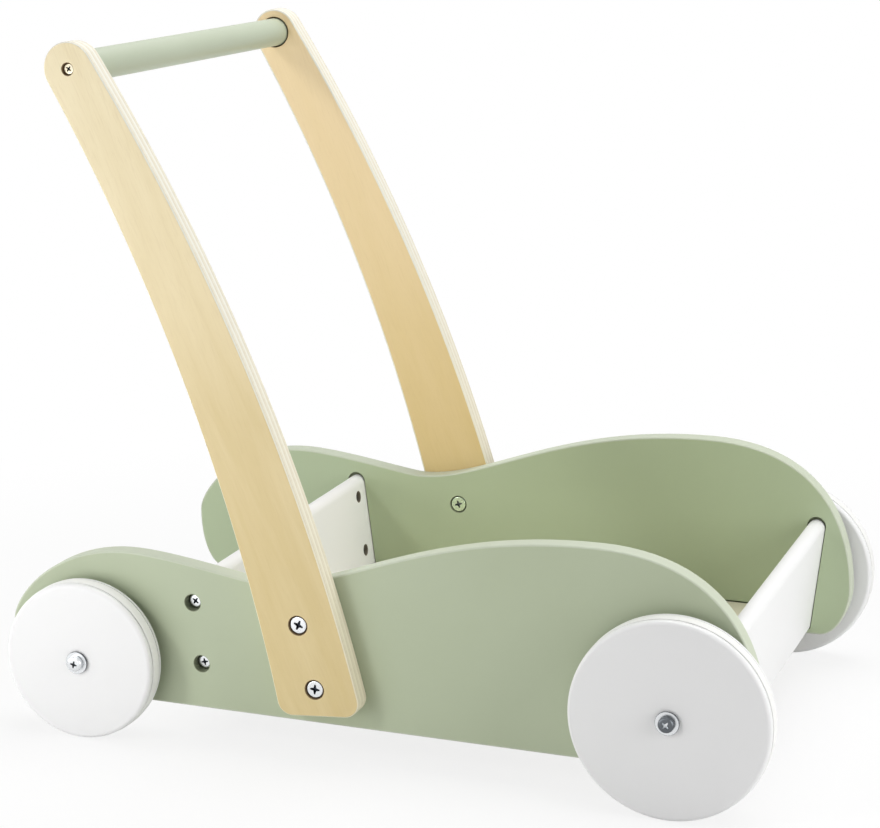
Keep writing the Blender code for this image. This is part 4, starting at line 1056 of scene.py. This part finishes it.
# %% Axles
AXLE_RADIUS, AXLE_BOLT_RADIUS, AXLE_BOLT_BORE = 0.0040, 0.0025, 0.0028
AXLE_ROOT_RADIUS, AXLE_ROOT_ROUND = 0.0060, 0.0005
AXLE_BORE_DEPTH = 0.0150
# A head is given by its radius, its height and the round of its rim, and a cross by its span and depth.
AXLE_HEAD, AXLE_CROSS = (0.0050, 0.0034, 0.0016), (0.0062, 0.0019)
SPACER_RADIUS, SPACER_PLAY, SPACER_EASE = 0.010, 0.0003, 0.0005
HUB_WASHER_RADIUS, WASHER_EASE = 0.0075, 0.0002


def make_ring(node, side, radius, bore, ease):
    """Washer with broken rims."""
    low, high = reach(node)
    section = [(bore, low), (radius - ease, low), (radius, low + ease), (radius, high - ease),
               (radius - ease, high), (bore, high)]
    return lathe(section, middle(node), side, HEAD_SEGMENTS)


for name, side in SIDES.items():
    for axle in ENDS:
        label = f"{name}_{axle}"
        node = f"{label}_axle_sleeve"
        low, high = reach(node)
        root = (AXLE_ROOT_RADIUS, PANEL_OUTER - low, AXLE_ROOT_ROUND)
        section = head_section(low, -1, root, AXLE_RADIUS, high, AXLE_BOLT_BORE, high - AXLE_BORE_DEPTH)
        dress(lathe(section, middle(node), side, HEAD_SEGMENTS), node, [zinc])
        node = f"{label}_spacer_washer"
        spacer = make_ring(node, side, SPACER_RADIUS, AXLE_RADIUS + SPACER_PLAY, SPACER_EASE)
        dress(spacer, node, [nylon])
        node = f"{label}_hub_washer"
        washer = make_ring(node, side, HUB_WASHER_RADIUS, AXLE_BOLT_BORE, WASHER_EASE)
        # The washer's rims take the darker zinc, a painted contact shadow round each washer.
        for f in washer.faces:
            f.material_index = FACE if abs(f.normal.y) > FLAT_ACROSS else RIM
        dress(washer, node, [zinc, zinc_painted_shade])
        # Front bolts get a dark head as painted dark reflection, with a bright cross as painted glints; rear
        # ones a bright head with a grey cross as painted shade.
        bolt_painted_reflection = (zinc, zinc_painted_shade) if axle == "rear" else (zinc_painted_shade, zinc)
        fastener(f"{label}_axle_bolt", side, AXLE_HEAD, AXLE_BOLT_RADIUS, AXLE_CROSS, bolt_painted_reflection)
print("axles dressed:", len(screws_made), "fasteners so far")

# %% Arm bolts and sleeve nuts
BOLT_HEAD_HEIGHT, BOLT_RADIUS = 0.0028, 0.0025
BOLT_HEAD = (0.0055, BOLT_HEAD_HEIGHT, 0.0006)
BOLT_CROSS, NUT_CROSS = (0.0084, 0.0018), (0.0074, 0.0018)
NUT_SLEEVE_RADIUS, NUT_BORE_RADIUS, NUT_END_WALL = 0.0040, 0.0028, 0.0012

for name, side in SIDES.items():
    for level in LEVELS:
        fastener(f"{name}_{level}_arm_bolt", side, BOLT_HEAD, BOLT_RADIUS, BOLT_CROSS)
        # Sleeve nuts: green head as painted reflection, grey recess as painted shade.
        fastener(f"{name}_{level}_sleeve_nut", side, BOLT_HEAD, NUT_SLEEVE_RADIUS, NUT_CROSS,
                 (zinc_painted_green_reflection, zinc_painted_shade), -1, NUT_BORE_RADIUS, BOLT_HEAD_HEIGHT + NUT_END_WALL)
print("arm bolts dressed:", len(screws_made), "fasteners so far")

# %% Bar screws, board screws and barrel nuts
SCREW_HEAD, SCREW_CROSS, SCREW_RADIUS = (0.0047, 0.0022, 0.0012), (0.0062, 0.0015), 0.0023
BAR_SCREW_HEAD, BAR_SCREW_CROSS, BAR_SCREW_RADIUS = (0.0035, 0.0022, 0.0007), (0.0050, 0.0014), 0.0020
BARREL_RADIUS, BARREL_EASE = 0.0037, 0.0004
BARREL_SINK, BARREL_BACK_WALL = 0.0026, 0.0015
BARREL_SLOT_WIDTH, BARREL_SLOT_DEPTH = 0.0012, 0.0012
CROSS_BORE_REACH = 0.02
# The barrel nuts sit deep in their holes; their grey head is painted shade.
barrel = [zinc_painted_shade, recess_painted_shade]


def make_barrel(side, board, level):
    """Barrel nut with a cross bore for its screw and a slot to turn it by."""
    out, length = BOARD_THICKNESS / 2 - BARREL_SINK, BOARD_THICKNESS - BARREL_SINK - BARREL_BACK_WALL
    section = [(0.0, out - length), (BARREL_RADIUS, out - length), (BARREL_RADIUS, out - BARREL_EASE),
               (BARREL_RADIUS - BARREL_EASE, out), (0.0, out)]
    shape = lathe(section, (0.0, 0.0), RIGHT, HEAD_SEGMENTS)
    slot_size = (BARREL_SLOT_WIDTH, 2 * BARREL_SLOT_DEPTH, 3 * BARREL_RADIUS)
    slot = block(slot_size, (0.0, RIGHT * out, 0.0))
    across = rod(SCREW_SHANK_BORE, -CROSS_BORE_REACH, CROSS_BORE_REACH, (0.0, 0.0))
    bmesh.ops.rotate(across, verts=across.verts, cent=(0.0, 0.0, 0.0),
                     matrix=Matrix.Rotation(math.pi / 2, 3, "Z"))
    for cutter in (slot, across):
        shape = carve(shape, [cutter], barrel, recess_painted_shade)
    place = board_stance(board) @ nut_place(side, board, level)
    bmesh.ops.transform(shape, matrix=place, verts=shape.verts)
    return dress(shape, f"{side}_{board}_{level}_barrel_nut", barrel)


for name, side in SIDES.items():
    fastener(f"{name}_bar_screw", side, BAR_SCREW_HEAD, BAR_SCREW_RADIUS, BAR_SCREW_CROSS,
             (warm_zinc, recess_painted_shade))
    for board in ENDS:
        for level in LEVELS:
            fastener(f"{name}_{board}_{level}_screw", side, SCREW_HEAD, SCREW_RADIUS, SCREW_CROSS)
            make_barrel(name, board, level)
print("all fasteners dressed:", len(screws_made), "with a cross recess")
